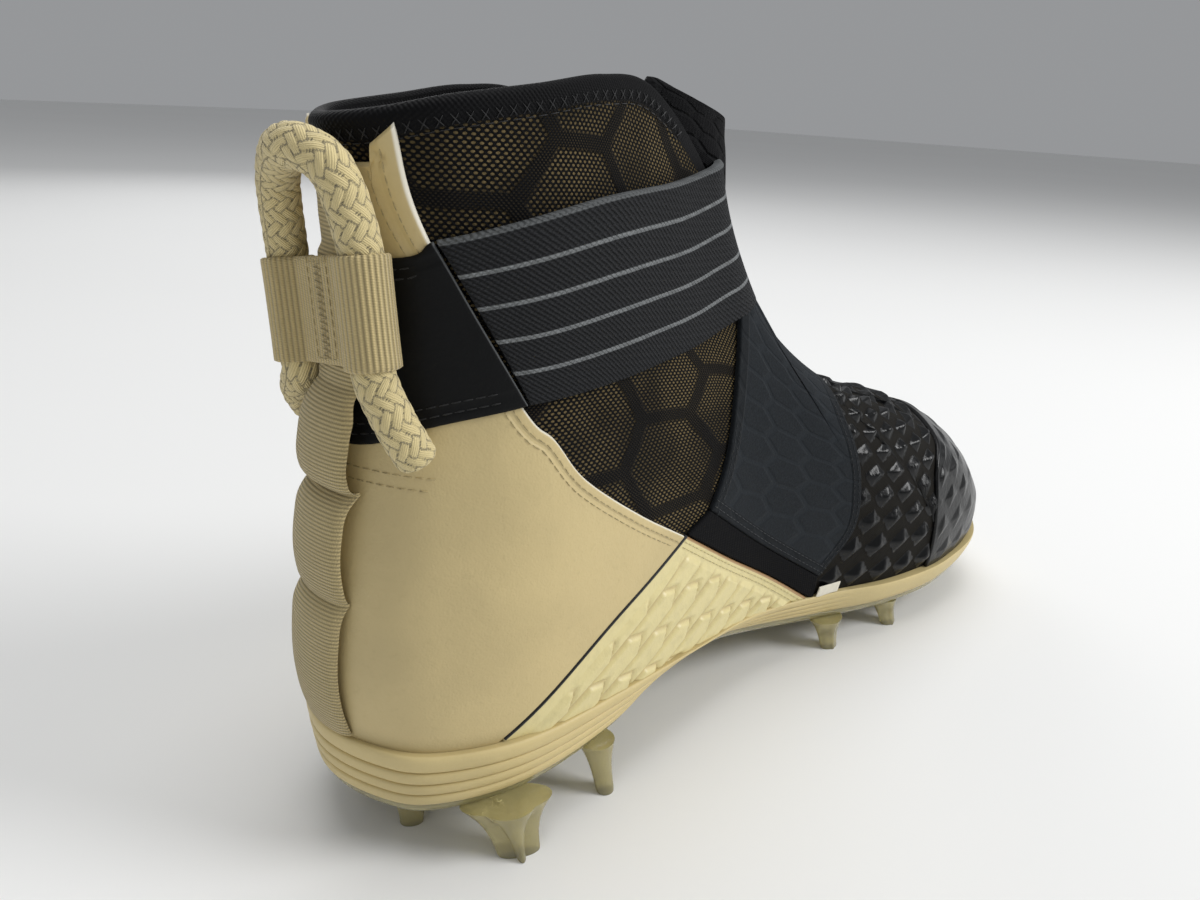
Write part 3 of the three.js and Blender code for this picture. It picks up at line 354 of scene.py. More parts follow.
def eased_facing(u, v, reach):
    if not reach:
        return facing(u, v)
    step = 0.015
    low = np.maximum(v - step, 0)
    across = eased(u + 0.002, v, reach) - eased(u - 0.002, v, reach)
    return unit(np.cross(across, eased(u, v + step, reach) - eased(u, low, reach)))


def station_of(u):
    t = np.asarray(u, float) % 1
    return np.minimum(t, 1 - t) * RING


# Arc lengths over the last, from which the patterns take their millimetres
AROUND, UP, ROUND_AT = 360, 120, 24
TABLE_U, TABLE_V = np.linspace(0, 1, AROUND + 1), np.linspace(0, RIDGE_V, UP + 1)
TABLE = form(TABLE_U[:, None], TABLE_V[None, :])
RISE_TABLE = np.array([length_along(column) for column in TABLE])
RUN_TABLE = length_along(TABLE[:, ROUND_AT])


def run_of(u, v):
    """Millimetres round the last and up its wall at places of the surface."""
    u, v = np.broadcast_arrays(np.asarray(u, float), np.asarray(v, float))
    turns = np.floor(u)
    t = u - turns
    around = np.interp(t, TABLE_U, RUN_TABLE) + turns * RUN_TABLE[-1]
    ui, vi = t * AROUND, np.clip(v, 0, RIDGE_V) * UP / RIDGE_V
    i, j = np.minimum(ui.astype(int), AROUND - 1), np.minimum(vi.astype(int), UP - 1)
    f, g = ui - i, vi - j
    up = ((1 - f) * ((1 - g) * RISE_TABLE[i, j] + g * RISE_TABLE[i, j + 1])
          + f * ((1 - g) * RISE_TABLE[i + 1, j] + g * RISE_TABLE[i + 1, j + 1]))
    return np.stack([around, up, 0 * up], -1)


# Seams and regions in the side view

def edge(points, shift=0.0):
    return np.array([(x * SOLE_LENGTH + shift, up_to(z)) for x, z in points])


def smooth_run(points, steps=10):
    """Extra points on a smooth curve through seam points."""
    if len(points) < 3:
        return points
    ends = np.vstack([2 * points[0] - points[1], points, 2 * points[-1] - points[-2]])
    out = []
    for k in range(1, len(points)):
        a, b, c, d = ends[k - 1:k + 3]
        for f in np.arange(steps) / steps:
            out.append(between(a, b, c, d, f))
    return np.array(out + [points[-1]])


def region(*runs):
    return np.vstack([smooth_run(run) for run in runs])


def within(outline, points):
    """Which side-view points lie inside a closed outline."""
    x, z = points[..., 0], points[..., 2]
    inside = np.zeros(x.shape, bool)
    for (x0, z0), (x1, z1) in zip(outline, np.roll(outline, -1, 0)):
        crosses = (z0 > z) != (z1 > z)
        span = z1 - z0 if abs(z1 - z0) > 1e-9 else 1e-9
        inside ^= crosses & (x < (x1 - x0) * (z - z0) / span + x0)
    return inside


def distance_to(line, points, closed=False):
    """Side-view distance of points from a line of points."""
    best = np.full(points.shape[:-1], 1e9)
    flat = points[..., [0, 2]]
    ends = np.roll(line, -1, 0) if closed else line[1:]
    for a, b in zip(line, ends):
        d = b - a
        t = np.clip(((flat - a) @ d) / max(d @ d, 1e-9), 0, 1)
        best = np.minimum(best, np.linalg.norm(flat - a - t[..., None] * d, axis=-1))
    return best


def spans(outline, u, ease=0.0):
    """Where the column at each u enters and leaves a region, and whether it meets it."""
    v = np.linspace(0, RIDGE_V, 241)
    inside = within(outline, eased(u[:, None], v[None, :], ease))
    found = inside.any(1)
    first = inside.argmax(1)
    last = len(v) - 1 - inside[:, ::-1].argmax(1)
    low_out, low_in = v[np.maximum(first - 1, 0)], v[first]
    high_in, high_out = v[last], v[np.minimum(last + 1, len(v) - 1)]
    for _ in range(12):
        middle = (low_out + low_in) / 2
        hit = within(outline, eased(u, middle, ease))
        low_in, low_out = np.where(hit, middle, low_in), np.where(hit, low_out, middle)
        middle = (high_out + high_in) / 2
        hit = within(outline, eased(u, middle, ease))
        high_in, high_out = np.where(hit, middle, high_in), np.where(hit, high_out, middle)
    low = np.where(first == 0, 0.0, low_in)
    high = np.where(last == len(v) - 1, RIDGE_V, high_in)
    return low, high, found


def columns_in(outline, window, count, ease=0.0):
    """Values of u that cover a region, a little closer together near its ends."""
    coarse = np.linspace(*window, 181)
    found = spans(outline, coarse, ease)[2]
    first, last = np.flatnonzero(found)[[0, -1]]
    limits = []
    for inner, outer in ((first, max(first - 1, 0)), (last, min(last + 1, 180))):
        a, b = coarse[inner], coarse[outer]
        for _ in range(12):
            middle = (a + b) / 2
            a, b = (middle, b) if spans(outline, np.array([middle]), ease)[2][0] else (a, middle)
        limits.append(a)
    t = np.linspace(0, 1, count)
    t = 0.6 * t + 0.4 * (1 - np.cos(math.pi * t)) / 2
    return limits[0] + (limits[1] - limits[0]) * t


# Turning shapes into objects

def to_metres(points):
    return (np.asarray(points, float) + ORIGIN) * MM


def mesh_piece(name, points, faces, look, attributes=None, recalculate=True, angle=40.0):
    """An object from points in the last's millimetres, faces, a material and named values."""
    mesh = bpy.data.meshes.new(name)
    mesh.from_pydata(to_metres(points).tolist(), [], [tuple(int(k) for k in face) for face in faces])
    for key, values in (attributes or {}).items():
        values = np.asarray(values, float)
        kind, field = ("FLOAT_VECTOR", "vector") if values.ndim == 2 else ("FLOAT", "value")
        layer = mesh.attributes.new(key, kind, "POINT")
        layer.data.foreach_set(field, values.ravel())
    work = bmesh.new()
    work.from_mesh(mesh)
    bmesh.ops.remove_doubles(work, verts=work.verts, dist=2e-6)
    bmesh.ops.dissolve_degenerate(work, edges=work.edges, dist=1e-7)
    if recalculate:
        bmesh.ops.recalc_face_normals(work, faces=work.faces)
    work.to_mesh(mesh)
    work.free()
    piece = bpy.data.objects.new(name, mesh)
    bpy.context.collection.objects.link(piece)
    mesh.materials.append(look)
    smooth(piece, angle)
    return piece


def smooth(piece, angle):
    """Smooth shading with sharp edges over an angle in degrees."""
    select_only(piece)
    bpy.ops.object.shade_smooth_by_angle(angle=math.radians(angle))


def remove(piece):
    mesh = piece.data
    bpy.data.objects.remove(piece)
    bpy.data.meshes.remove(mesh)


def taken(piece):
    """The points and faces of a modelled form, which is then taken off the scene."""
    points = np.array([(piece.matrix_world @ vertex.co)[:] for vertex in piece.data.vertices])
    faces = [tuple(face.vertices) for face in piece.data.polygons]
    remove(piece)
    return points, faces


def select_only(*pieces):
    if bpy.context.mode != "OBJECT":
        bpy.ops.object.mode_set(mode="OBJECT")
    bpy.ops.object.select_all(action="DESELECT")
    for piece in pieces:
        piece.select_set(True)
    bpy.context.view_layer.objects.active = pieces[0]


def settle(piece, nodes=()):
    """Puts a finished piece on the shoe, in place of the plain solids that it stands for."""
    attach(piece, "root")
    if nodes:
        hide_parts(*nodes)


def grid_faces(rows, columns, start=0, closed=False):
    faces = []
    for i in range(rows if closed else rows - 1):
        a, b = start + i * columns, start + ((i + 1) % rows) * columns
        faces += [(a + j, b + j, b + j + 1, a + j + 1) for j in range(columns - 1)]
    return faces


def rounding(distance, radius, low=0.4):
    """How full a laid-on panel is near its cut edge, from low at the edge to 1."""
    t = np.clip(distance / radius, 0, 1)
    return low + (1 - low) * np.sqrt(np.clip(1 - (1 - t) ** 2, 0, 1))


def laid_panel(name, outline, sides, look, base, thickness, columns=120, rows=48, round_mm=1.0,
               seams=None, relief=None, window=(0.005, 0.495), ease=0.0):
    """A panel lying on the last inside a side-view outline, on one side or on both up to the ridge."""
    main = columns_in(outline, window, columns, ease)
    share = np.linspace(0, 1, rows)
    share = 0.45 * share + 0.55 * (1 - np.cos(math.pi * share)) / 2
    points, faces, marks = [], [], {key: [] for key in ("run", "edge", "relief", *(seams or {}))}
    count = 0
    for side in sides:
        u = main if side <= 0 else 1 - main
        low, high, found = spans(outline, u, ease)
        if not found.all():
            good = np.flatnonzero(found)
            near = good[np.abs(np.arange(len(u))[:, None] - good[None, :]).argmin(1)]
            low, high = low[near], high[near]
        v = low[:, None] + (high - low)[:, None] * share[None, :]
        grid_u = np.repeat(u[:, None], rows, 1)
        surface = eased(grid_u, v, ease)
        distance = distance_to(outline, surface, True)
        height = base + thickness * rounding(distance, round_mm)
        run = run_of(grid_u, v)
        mark = np.zeros_like(height)
        if relief is not None:
            raised, mark = relief(surface, run, distance)
            height = height + raised
        normal = eased_facing(grid_u, v, ease)
        outer, inner = surface + normal * height[..., None], surface + normal * base
        n = len(u) * rows
        points += [outer.reshape(-1, 3), inner.reshape(-1, 3)]
        fresh = {"run": run.reshape(-1, 3), "edge": distance.ravel(), "relief": mark.ravel()}
        fresh |= {key: distance_to(line, surface).ravel() for key, line in (seams or {}).items()}
        for key, values in fresh.items():
            marks[key] += [values, values]
        faces += grid_faces(len(u), rows, count)
        faces += [face[::-1] for face in grid_faces(len(u), rows, count + n)]
        for i in range(len(u) - 1):
            a, b = count + i * rows, count + (i + 1) * rows
            faces.append((b, a, a + n, b + n))
            at_ridge = min(high[i], high[i + 1]) > RIDGE_V - PROBE
            if not (at_ridge and len(sides) > 1):
                faces.append((a + rows - 1, b + rows - 1, b + rows - 1 + n, a + rows - 1 + n))
        for i in (0, len(u) - 1):
            if len(sides) > 1 and abs(u[i] - 0.5) < 1e-4:
                continue
            a = count + i * rows
            for j in range(rows - 1):
                face = (a + j, a + j + 1, a + j + 1 + n, a + j + n)
                faces.append(face if i == 0 else face[::-1])
        count += 2 * n
    marks = {key: np.concatenate(values) for key, values in marks.items()}
    return mesh_piece(name, np.concatenate(points), faces, look, marks)


def place_on(side, targets):
    """The u and v at which the last's wall or front shows side-view points on one side."""
    targets = np.asarray(targets, float)
    grid_u, grid_v = np.meshgrid(np.linspace(0.004, 0.496, 160), np.linspace(0, 1.98, 130), indexing="ij")
    if side > 0:
        grid_u = 1 - grid_u
    surface = side_view(form(grid_u, grid_v)).reshape(-1, 2)
    near = np.array([np.argmin(((surface - t) ** 2).sum(1)) for t in targets])
    read = lambda u, v: side_view(form(u, v))
    return homed(read, targets, grid_u.ravel()[near], grid_v.ravel()[near], 6, 1e-3)


def beside(line, offset):
    """A seam line moved sideways in the side view, to its left for positive offsets."""
    along = unit(np.gradient(line, axis=0))
    return line + np.stack([-along[:, 1], along[:, 0]], 1) * offset


def read_along(points, total, at):
    """The points of a line at given distances, where total says how far along each of its points lies."""
    return np.stack([np.interp(at, total, points[:, k]) for k in range(points.shape[1])], 1)


def paced(points, pitch):
    """Points a pitch apart along a line in space, with the line's direction at each."""
    total = length_along(points)
    at = np.arange(pitch / 2, total[-1], pitch)
    spot, ahead, back = (read_along(points, total, at + step) for step in (0, 0.2, -0.2))
    return spot, ahead - back


def stitch_form():
    """One stitch along X, rounded and a little sunk at its ends, modelled once for every row."""
    bpy.ops.object.select_all(action="DESELECT")
    bpy.ops.mesh.primitive_uv_sphere_add(segments=8, ring_count=6, radius=1)
    bpy.ops.object.mode_set(mode="EDIT")
    bpy.ops.mesh.select_all(action="SELECT")
    bpy.ops.transform.resize(value=(1.0, 0.5, 0.5))
    bpy.ops.object.mode_set(mode="OBJECT")
    points, faces = taken(bpy.context.active_object)
    points[:, 0] = np.sign(points[:, 0]) * np.abs(points[:, 0]) ** 0.7
    points[:, 2] -= 0.35 * points[:, 0] ** 4
    return points, faces


STITCH_POINTS, STITCH_FACES = stitch_form()


def sewn(name, stitches, look):
    """Stitches, each a middle, a direction, a normal, a length and a thickness, as one mesh."""
    points, faces = [], []
    for middle, along, normal, length, width in stitches:
        x = along / max(np.linalg.norm(along), 1e-9)
        z = normal - x * (normal @ x)
        z /= max(np.linalg.norm(z), 1e-9)
        y = np.cross(z, x)
        size = np.array([length / 2, width, width])
        start = len(points) * len(STITCH_POINTS)
        points.append(middle + (STITCH_POINTS * size) @ np.stack([x, y, z]))
        faces += [tuple(k + start for k in face) for face in STITCH_FACES]
    return mesh_piece(name, np.concatenate(points), faces, look, recalculate=False, angle=80)


def row_of_stitches(u, v, height, pitch, length, width, slant=0.0):
    """Stitches along a line of places on the last."""
    line = np.stack([u, v], 1)
    surface = form(u, v)
    spot_uv, _ = paced(np.concatenate([surface, line], 1), pitch)
    _, direction = paced(surface, pitch)
    su, sv = spot_uv[:, 3], spot_uv[:, 4]
    normal = facing(su, sv)
    middle = form(su, sv) + normal * height
    along = direction[:len(su), :3]
    if slant:
        across = np.cross(normal, along)
        along = along * math.cos(slant) + across * math.sin(slant)
    return [(m, a, n, length, width) for m, a, n in zip(middle, along, normal)]


def seam_stitches(line, side, height, pitch, length, width, ground=None):
    """Stitches along a side-view line, and only where it runs over the ground's outline."""
    if ground is not None:
        line = line[within(ground, np.stack([line[:, 0], 0 * line[:, 0], line[:, 1]], 1))]
    u, v = place_on(side, line)
    return row_of_stitches(u, v, height, pitch, length, width)


def ring_faces(rings, count):
    """Faces from each closed ring of points to the next."""
    faces = []
    for k in range(rings - 1):
        for i in range(count):
            n = (i + 1) % count
            faces.append((k * count + i, k * count + n, (k + 1) * count + n, (k + 1) * count + i))
    return faces


def capped(rings, count):
    """The faces of a tube: from ring to ring, and one at each end."""
    return ring_faces(rings, count) + [tuple(range(count))[::-1],
                                       tuple((rings - 1) * count + k for k in range(count))]


def round_each(out, across, angle):
    """Directions at given angles about each place of a line, from its outward one to the one across."""
    return out[:, None, :] * np.cos(angle)[None, :, None] + across[:, None, :] * np.sin(angle)[None, :, None]


def tube_along(name, centre, normal, radius, look, sides=10):
    """A cord of even thickness along a line in space, closed at both ends."""
    along = unit(np.gradient(centre, axis=0))
    out = unit(normal - along * (normal * along).sum(1)[:, None])
    angle = np.arange(sides) * 2 * math.pi / sides
    points = centre[:, None, :] + round_each(out, np.cross(along, out), angle) * radius
    return mesh_piece(name, points.reshape(-1, 3), capped(len(centre), sides), look)


# Finishes

def linear(red, green, blue):
    """Linear colour from the eye's 0 to 255 numbers."""
    return tuple(c / 3294.6 if c <= 10.31 else ((c / 255 + 0.055) / 1.055) ** 2.4 for c in (red, green, blue))


class Value:
    """A number or vector in a material. Arithmetic on it adds Math nodes."""

    def __init__(self, paint, socket):
        self.paint, self.socket = paint, socket

    def math(self, operation, *others):
        return self.paint.node("ShaderNodeMath", {"operation": operation}, dict(enumerate((self, *others))))

    def __add__(self, other):
        return self.math("ADD", other)

    def __sub__(self, other):
        return self.math("SUBTRACT", other)

    def __rsub__(self, other):
        return self.math("MULTIPLY", -1.0) + other

    def __mul__(self, other):
        return self.math("MULTIPLY", other)

    def __truediv__(self, other):
        return self.math("DIVIDE", other)

    def __mod__(self, other):
        return self.math("FLOORED_MODULO", other)

    def __pow__(self, other):
        return self.math("POWER", other)

    def __abs__(self):
        return self.math("ABSOLUTE")

    __radd__, __rmul__ = __add__, __mul__

    def larger(self, other):
        return self.math("MAXIMUM", other)

    def smaller(self, other):
        return self.math("MINIMUM", other)

    def wave(self):
        return self.math("SINE")

    def step(self, low, high):
        """0 below low, 1 above high and a soft step between them."""
        settings = {"interpolation_type": "SMOOTHSTEP"}
        return self.paint.node("ShaderNodeMapRange", settings, {0: self, 1: low, 2: high, 3: 0.0, 4: 1.0})


class Paint:
    """A material with one Principled shader, worked out in the shoe's millimetres."""

    def __init__(self, name, colour, roughness=0.7, **uniform):
        self.material = bpy.data.materials.new(name)
        self.material.use_nodes = True
        self.tree = self.material.node_tree
        self.shader = self.tree.nodes["Principled BSDF"]
        self.colour = (*colour[:3], 1.0)
        self.put("Base Color", self.colour)
        self.put("Roughness", roughness)
        for key, value in uniform.items():
            self.put(key.replace("_", " "), value)

    def link(self, socket, value):
        if isinstance(value, Value):
            self.tree.links.new(value.socket, socket)
        else:
            socket.default_value = value

    def put(self, name, value):
        self.link(self.shader.inputs[name], value)

    def done(self, base, roughness, relief):
        """The finished material from its colour, its roughness and its relief in millimetres."""
        self.put("Base Color", base)
        self.put("Roughness", roughness)
        self.bump(relief)
        return self.material

    def run(self):
        """A piece's own millimetres along and across it."""
        return self.parts(self.vector("run"))[:2]

    def node(self, kind, settings=None, inputs=None, output=0):
        node = self.tree.nodes.new(kind)
        for key, value in (settings or {}).items():
            setattr(node, key, value)
        for key, value in (inputs or {}).items():
            self.link(node.inputs[key], value)
        return Value(self, node.outputs[output])

    def place(self):
        """Object coordinates in millimetres."""
        spot = self.node("ShaderNodeTexCoord", output="Object")
        return self.node("ShaderNodeVectorMath", {"operation": "SCALE"}, {0: spot, "Scale": 1000.0})

    def value(self, name):
        return self.node("ShaderNodeAttribute", {"attribute_name": name}, output="Fac")

    def vector(self, name):
        return self.node("ShaderNodeAttribute", {"attribute_name": name}, output="Vector")

    def parts(self, vector):
        node = self.tree.nodes.new("ShaderNodeSeparateXYZ")
        self.link(node.inputs[0], vector)
        return [Value(self, output) for output in node.outputs]

    def noise(self, vector, scale, detail=2.0, roughness=0.5):
        """Soft noise from 0 to 1 whose patches measure about 1 / scale millimetres."""
        inputs = {"Vector": vector, "Scale": scale, "Detail": detail, "Roughness": roughness}
        return self.node("ShaderNodeTexNoise", None, inputs)

    def grain(self, vector, scale):
        """Rounded pebbles of about 1 / scale millimetres."""
        inputs = {"Vector": vector, "Scale": scale}
        return self.node("ShaderNodeTexVoronoi", {"feature": "SMOOTH_F1"}, inputs, "Distance")

    def mix(self, factor, first, second):
        rgba = [value if isinstance(value, Value) else (*value[:3], 1.0) for value in (first, second)]
        return self.node("ShaderNodeMix", {"data_type": "RGBA"}, {0: factor, 6: rgba[0], 7: rgba[1]}, 2)

    def bump(self, height, depth=1.0):
        """Relief from a height in millimetres times depth."""
        inputs = {"Height": height, "Distance": depth * MM, "Strength": 1.0}
        self.put("Normal", self.node("ShaderNodeBump", None, inputs))

    def hexagon(self, x, y, size):
        """Distance to the nearest hexagon edge, in shares of the size across flats, flats up and down."""
        x, y = x / size, y / size
        wide = 3 ** 0.5
        a, b = x % wide - wide / 2, y % 1.0 - 0.5
        c, d = (x + wide / 2) % wide - wide / 2, (y + 0.5) % 1.0 - 0.5
        first = 0.5 - abs(b).larger(abs(a) * (wide / 2) + abs(b) * 0.5)
        second = 0.5 - abs(d).larger(abs(c) * (wide / 2) + abs(d) * 0.5)
        return first.larger(second)

    def dots(self, x, y, pitch, tall, radius):
        """1 in rows of set-off round holes, 0 between them."""
        row = pitch * tall
        a, b = (x / pitch) % 1.0 - 0.5, (y / row) % 2.0 - 0.5
        c, d = (x / pitch + 0.5) % 1.0 - 0.5, (y / row + 1.0) % 2.0 - 0.5
        first = (a * a + b * b * 0.55) ** 0.5
        second = (c * c + d * d * 0.55) ** 0.5
        return 1.0 - first.smaller(second).step(radius * 0.75, radius * 1.15)


class CleatSizes(bpy.types.PropertyGroup):
    """Sizes of the fine pieces and patterns, in millimetres."""

    stitch_pitch: bpy.props.FloatProperty(
        name="Stitch pitch", description="From one stitch to the next",
        default=2.7, min=1, max=6)
    stitch_width: bpy.props.FloatProperty(
        name="Thread", description="Half the thickness of the sewing thread",
        default=0.34, min=0.1, max=1)
    cut_edge: bpy.props.FloatProperty(
        name="Cut edge", description="Rounding of the cut edges of leather and film",
        default=0.9, min=0.1, max=3)
    scale_height: bpy.props.FloatProperty(
        name="Scale relief", description="Height of the moulded scales of the cages",
        default=1.3, min=0, max=2)
    vamp_height: bpy.props.FloatProperty(
        name="Vamp relief", description="Height of the glossy scales on the vamp",
        default=1.9, min=0, max=3)
    mesh_pitch: bpy.props.FloatProperty(
        name="Mesh pitch", description="From one mesh hole to the next",
        default=2.1, min=0.5, max=6)
    mesh_cell: bpy.props.FloatProperty(
        name="Mesh hexagon", description="Height of the large hexagons in the mesh",
        default=27.0, min=8, max=60)
    suede_cell: bpy.props.FloatProperty(
        name="Suede hexagon", description="Size of the hexagons pressed in the suede",
        default=13.0, min=5, max=40)
    stripe: bpy.props.FloatProperty(
        name="Stripe", description="Width of a stripe as a share of the strap's",
        default=0.024, min=0, max=0.2)
    braid_depth: bpy.props.FloatProperty(
        name="Braid", description="Relief of the cord's braid",
        default=0.42, min=0, max=1)


class CleatColours(bpy.types.PropertyGroup):
    """Colours of the finishes."""


COLOURS = {
    "leather": ("Quarter leather", (208, 188, 136)),
    "film": ("Cage film", (226, 212, 154)),
    "foam": ("Midsole", (214, 194, 138)),
    "plate": ("Sole plate", (208, 197, 142)),
    "cord": ("Pull cord", (224, 206, 152)),
    "webbing": ("Sleeve webbing", (208, 188, 136)),
    "ribbon": ("Heel ribbon", (204, 185, 134)),
    "black": ("Black leather", (10, 11, 12)),
    "elastic": ("Elastic strap", (34, 35, 37)),
    "stripes": ("Strap stripes", (124, 127, 128)),
    "suede": ("Instep suede", (30, 34, 38)),
    "mesh": ("Mesh", (10, 10, 12)),
    "lining": ("Lining behind the mesh", (112, 97, 66)),
    "gloss": ("Glossy scales", (13, 14, 15)),
    "insole": ("Insole", (64, 60, 55)),
    "cut": ("Bare cut edge", (238, 232, 214)),
    # Stain of the film's cut edge, and in a darker tone the painted shade in the grooves of the cages.
    "rust": ("Stained cut edge", (150, 104, 62)),
}
for colour_key, (colour_name, colour_value) in COLOURS.items():
    CleatColours.__annotations__[colour_key] = bpy.props.FloatVectorProperty(
        name=colour_name, description="Colour of the " + colour_name.lower(), subtype="COLOR", size=3,
        min=0, max=1, default=linear(*colour_value))


def sizes():
    return bpy.context.scene.cleat_sizes


def colour(key):
    return tuple(getattr(bpy.context.scene.cleat_colours, key))


def shade(tint, factor):
    return tuple(c * factor for c in tint[:3])


def leather_paint():
    tint = colour("leather")
    look = Paint("cream leather", tint, Coat_Weight=0.08, Coat_Roughness=0.4)
    place = look.place()
    patches, fine = look.noise(place, 0.035, 3), look.noise(place, 0.5, 4)
    base = look.mix(patches.step(0.35, 0.7), tint, shade(tint, 0.9))
    base = look.mix(fine.step(0.55, 0.85) * 0.25, base, shade(tint, 0.72))
    cut = 1 - look.value("front").step(0.25, 0.65)
    base = look.mix(cut, base, colour("cut"))
    # Painted shade: the quarter darkens over its lowest few millimetres, where it meets the midsole.
    low = 1 - look.run()[1].step(0.5, 5.0)
    base = look.mix(low * 0.35, base, shade(tint, 0.55))
    groove = 1 - (abs(look.value("front") - 3.2)).step(0.2, 0.9)
    return look.done(base, 0.42 + fine * 0.16, look.grain(place, 1.7) * 0.06 + fine * 0.12 - groove * 0.25)


def film_paint():
    tint = colour("film")
    look = Paint("cream scale film", tint, Coat_Weight=0.25, Coat_Roughness=0.3)
    place = look.place()
    fine = look.noise(place, 0.3, 4)
    base = look.mix(fine.step(0.4, 0.8), tint, shade(tint, 0.9))
    # Painted shade in the grooves round the scales, in a darker tone of the edge stain colour.
    base = look.mix(look.value("relief") * 0.6, base, shade(colour("rust"), 0.85))
    # The film's own stained cut edge along its top seam.
    base = look.mix((1 - look.value("top").step(0.35, 0.8)) * 0.85, base, colour("rust"))
    return look.done(
        base,
        0.36 + fine * 0.14,
        look.grain(place, 2.2) * 0.04 + look.noise(place, 0.9, 2) * 0.1)


def foam_paint():
    tint = colour("foam")
    look = Paint("cream midsole", tint, Coat_Weight=0.1, Coat_Roughness=0.35)
    place = look.place()
    fine, patches = look.noise(place, 1.1, 4), look.noise(place, 0.03, 3)
    base = look.mix(patches.step(0.35, 0.7), tint, shade(tint, 0.9))
    # Painted shade in the grooves between the ribs.
    base = look.mix(look.value("groove") * 0.35, base, shade(tint, 0.55))
    return look.done(base, 0.44 + fine * 0.15, fine * 0.08)


def plate_paint():
    tint = colour("plate")
    look = Paint("translucent sole plate", tint, 0.2, Coat_Weight=0.6, Coat_Roughness=0.08,
                 Subsurface_Weight=0.35, Subsurface_Scale=0.004, Transmission_Weight=0.6, IOR=1.46,
                 Subsurface_Radius=(1.0, 0.95, 0.55))
    place = look.place()
    height = look.parts(place)[2]
    fine = look.noise(place, 0.12, 3)
    # Painted shade: the plate and studs are darker towards the bottom, nearest the floor.
    base = look.mix(height.step(2.0, 16.0), shade(tint, 0.86), tint)
    base = look.mix(fine.step(0.5, 0.8) * 0.4, base, shade(tint, 0.75))
    return look.done(base, 0.16 + fine * 0.14, look.noise(place, 0.35, 2) * 0.25)


def weave_of(x, y, pitch):
    """Height of a plain weave, 0 to 1."""
    turn = math.pi / pitch
    over = (x * turn).wave() * (y * turn).wave()
    return over * 0.5 + 0.5


def mesh_paint():
    """Black knit mesh over a tan lining, with plain bands between large hexagons and a bound edge."""
    tint = colour("mesh")
    look = Paint("black mesh", tint, Specular_IOR_Level=0.1)
    x, y = look.run()
    place = look.place()
    warp = look.noise(place, 0.03, 1) * 7.0
    cell = look.hexagon(x / 1.6 + warp, y + warp * 0.6, sizes().mesh_cell)
    open_mesh = cell.step(0.05, 0.09)
    body = look.value("top").step(5.4, 6.2)
    outside = look.value("outside")
    holes = look.dots(x, y, sizes().mesh_pitch, 0.42, 0.3)
    small = look.dots(x, y, sizes().mesh_pitch * 0.62, 0.42, 0.26)
    shown = holes * open_mesh + small * (1 - open_mesh) * 0.22
    shown = shown * body * outside
    patch = look.noise(place, 0.04, 2).step(0.35, 0.65)
    lining = look.mix(patch, colour("lining"), shade(colour("lining"), 0.4))
    knit = weave_of(x, y * 1.2, 0.7)
    return look.done(
        look.mix(shown, tint, lining),
        0.62 + body * 0.15,
        knit * 0.18 - shown * 0.45 + (1 - open_mesh) * body * 0.35)


def knit_paint():
    tint = colour("mesh")
    look = Paint("black padded knit", tint, Specular_IOR_Level=0.1)
    x, y = look.run()
    cell = look.hexagon(x, y, 12.0)
    knit = weave_of(x, y, 0.8)
    return look.done(
        look.mix(knit, shade(tint, 0.7), shade(tint, 1.6)),
        0.72 + knit * 0.1,
        knit * 0.2 + cell.step(0.0, 0.16) * 0.9)


def gloss_paint(name):
    tint = colour("gloss")
    look = Paint(name, tint, Coat_Roughness=0.16, Specular_IOR_Level=0.12)
    place = look.place()
    x, y = look.run()
    scale = look.value("relief").step(0.06, 0.2)
    smudge = look.noise(place, 0.25, 3)
    fine = look.dots(x, y, 0.9, 0.45, 0.3)
    look.put("Coat Weight", scale * 0.22)
    return look.done(
        look.mix(fine * (1 - scale) * 0.5, tint, shade(colour("lining"), 0.3)),
        0.62 - scale * 0.36 + smudge * 0.12,
        look.noise(place, 0.6, 3) * 0.16 + fine * (1 - scale) * -0.25)


def black_leather_paint():
    tint = colour("black")
    look = Paint("smooth black leather", tint, Specular_IOR_Level=0.16)
    place = look.place()
    fine = look.noise(place, 0.6, 4)
    front = look.value("front")
    low, high = (1 - abs(look.value(key) - 3.4).step(0.5, 1.6) for key in ("lower", "upper"))
    rows = low + high
    return look.done(
        look.mix(1 - front.step(0.2, 0.5), tint, shade(colour("stripes"), 0.45)),
        0.5 + fine * 0.15,
        look.grain(place, 1.9) * 0.06 + fine * 0.1 - rows * 0.22)


def elastic_paint():
    """Ribbed elastic with four pale stripes and a pale upper edge."""
    tint = colour("elastic")
    look = Paint("striped elastic", tint, Specular_IOR_Level=0.15)
    x, _ = look.run()
    lower, upper = look.value("lower"), look.value("upper")
    across = lower / (lower + upper)
    mark = None
    for share in (0.205, 0.4, 0.6, 0.795):
        line = 1 - abs(across - share).step(sizes().stripe * 0.38, sizes().stripe * 0.62)
        mark = line if mark is None else mark.larger(line)
    rim = 1 - look.value("upper").step(0.7, 1.1)
    place = look.place()
    rib = (across * (2 * math.pi * 46) + (x * (2 * math.pi / 1.3)).wave() * 0.9).wave()
    twill = (across * (2 * math.pi * 23) + x * (2 * math.pi / 1.5)).wave()
    worn = look.noise(place, 0.5, 3).step(0.3, 0.7)
    threads = look.mix(twill * 0.5 + 0.5, shade(tint, 0.55), shade(tint, 1.35))
    pale = look.mix(worn * 0.5 + rib * 0.2, colour("stripes"), shade(colour("stripes"), 0.5))
    base = look.mix(mark, threads, pale)
    return look.done(
        look.mix(rim * 0.55, base, colour("stripes")),
        0.7 - mark * 0.15,
        rib * 0.12 + twill * 0.16 - mark * 0.2)


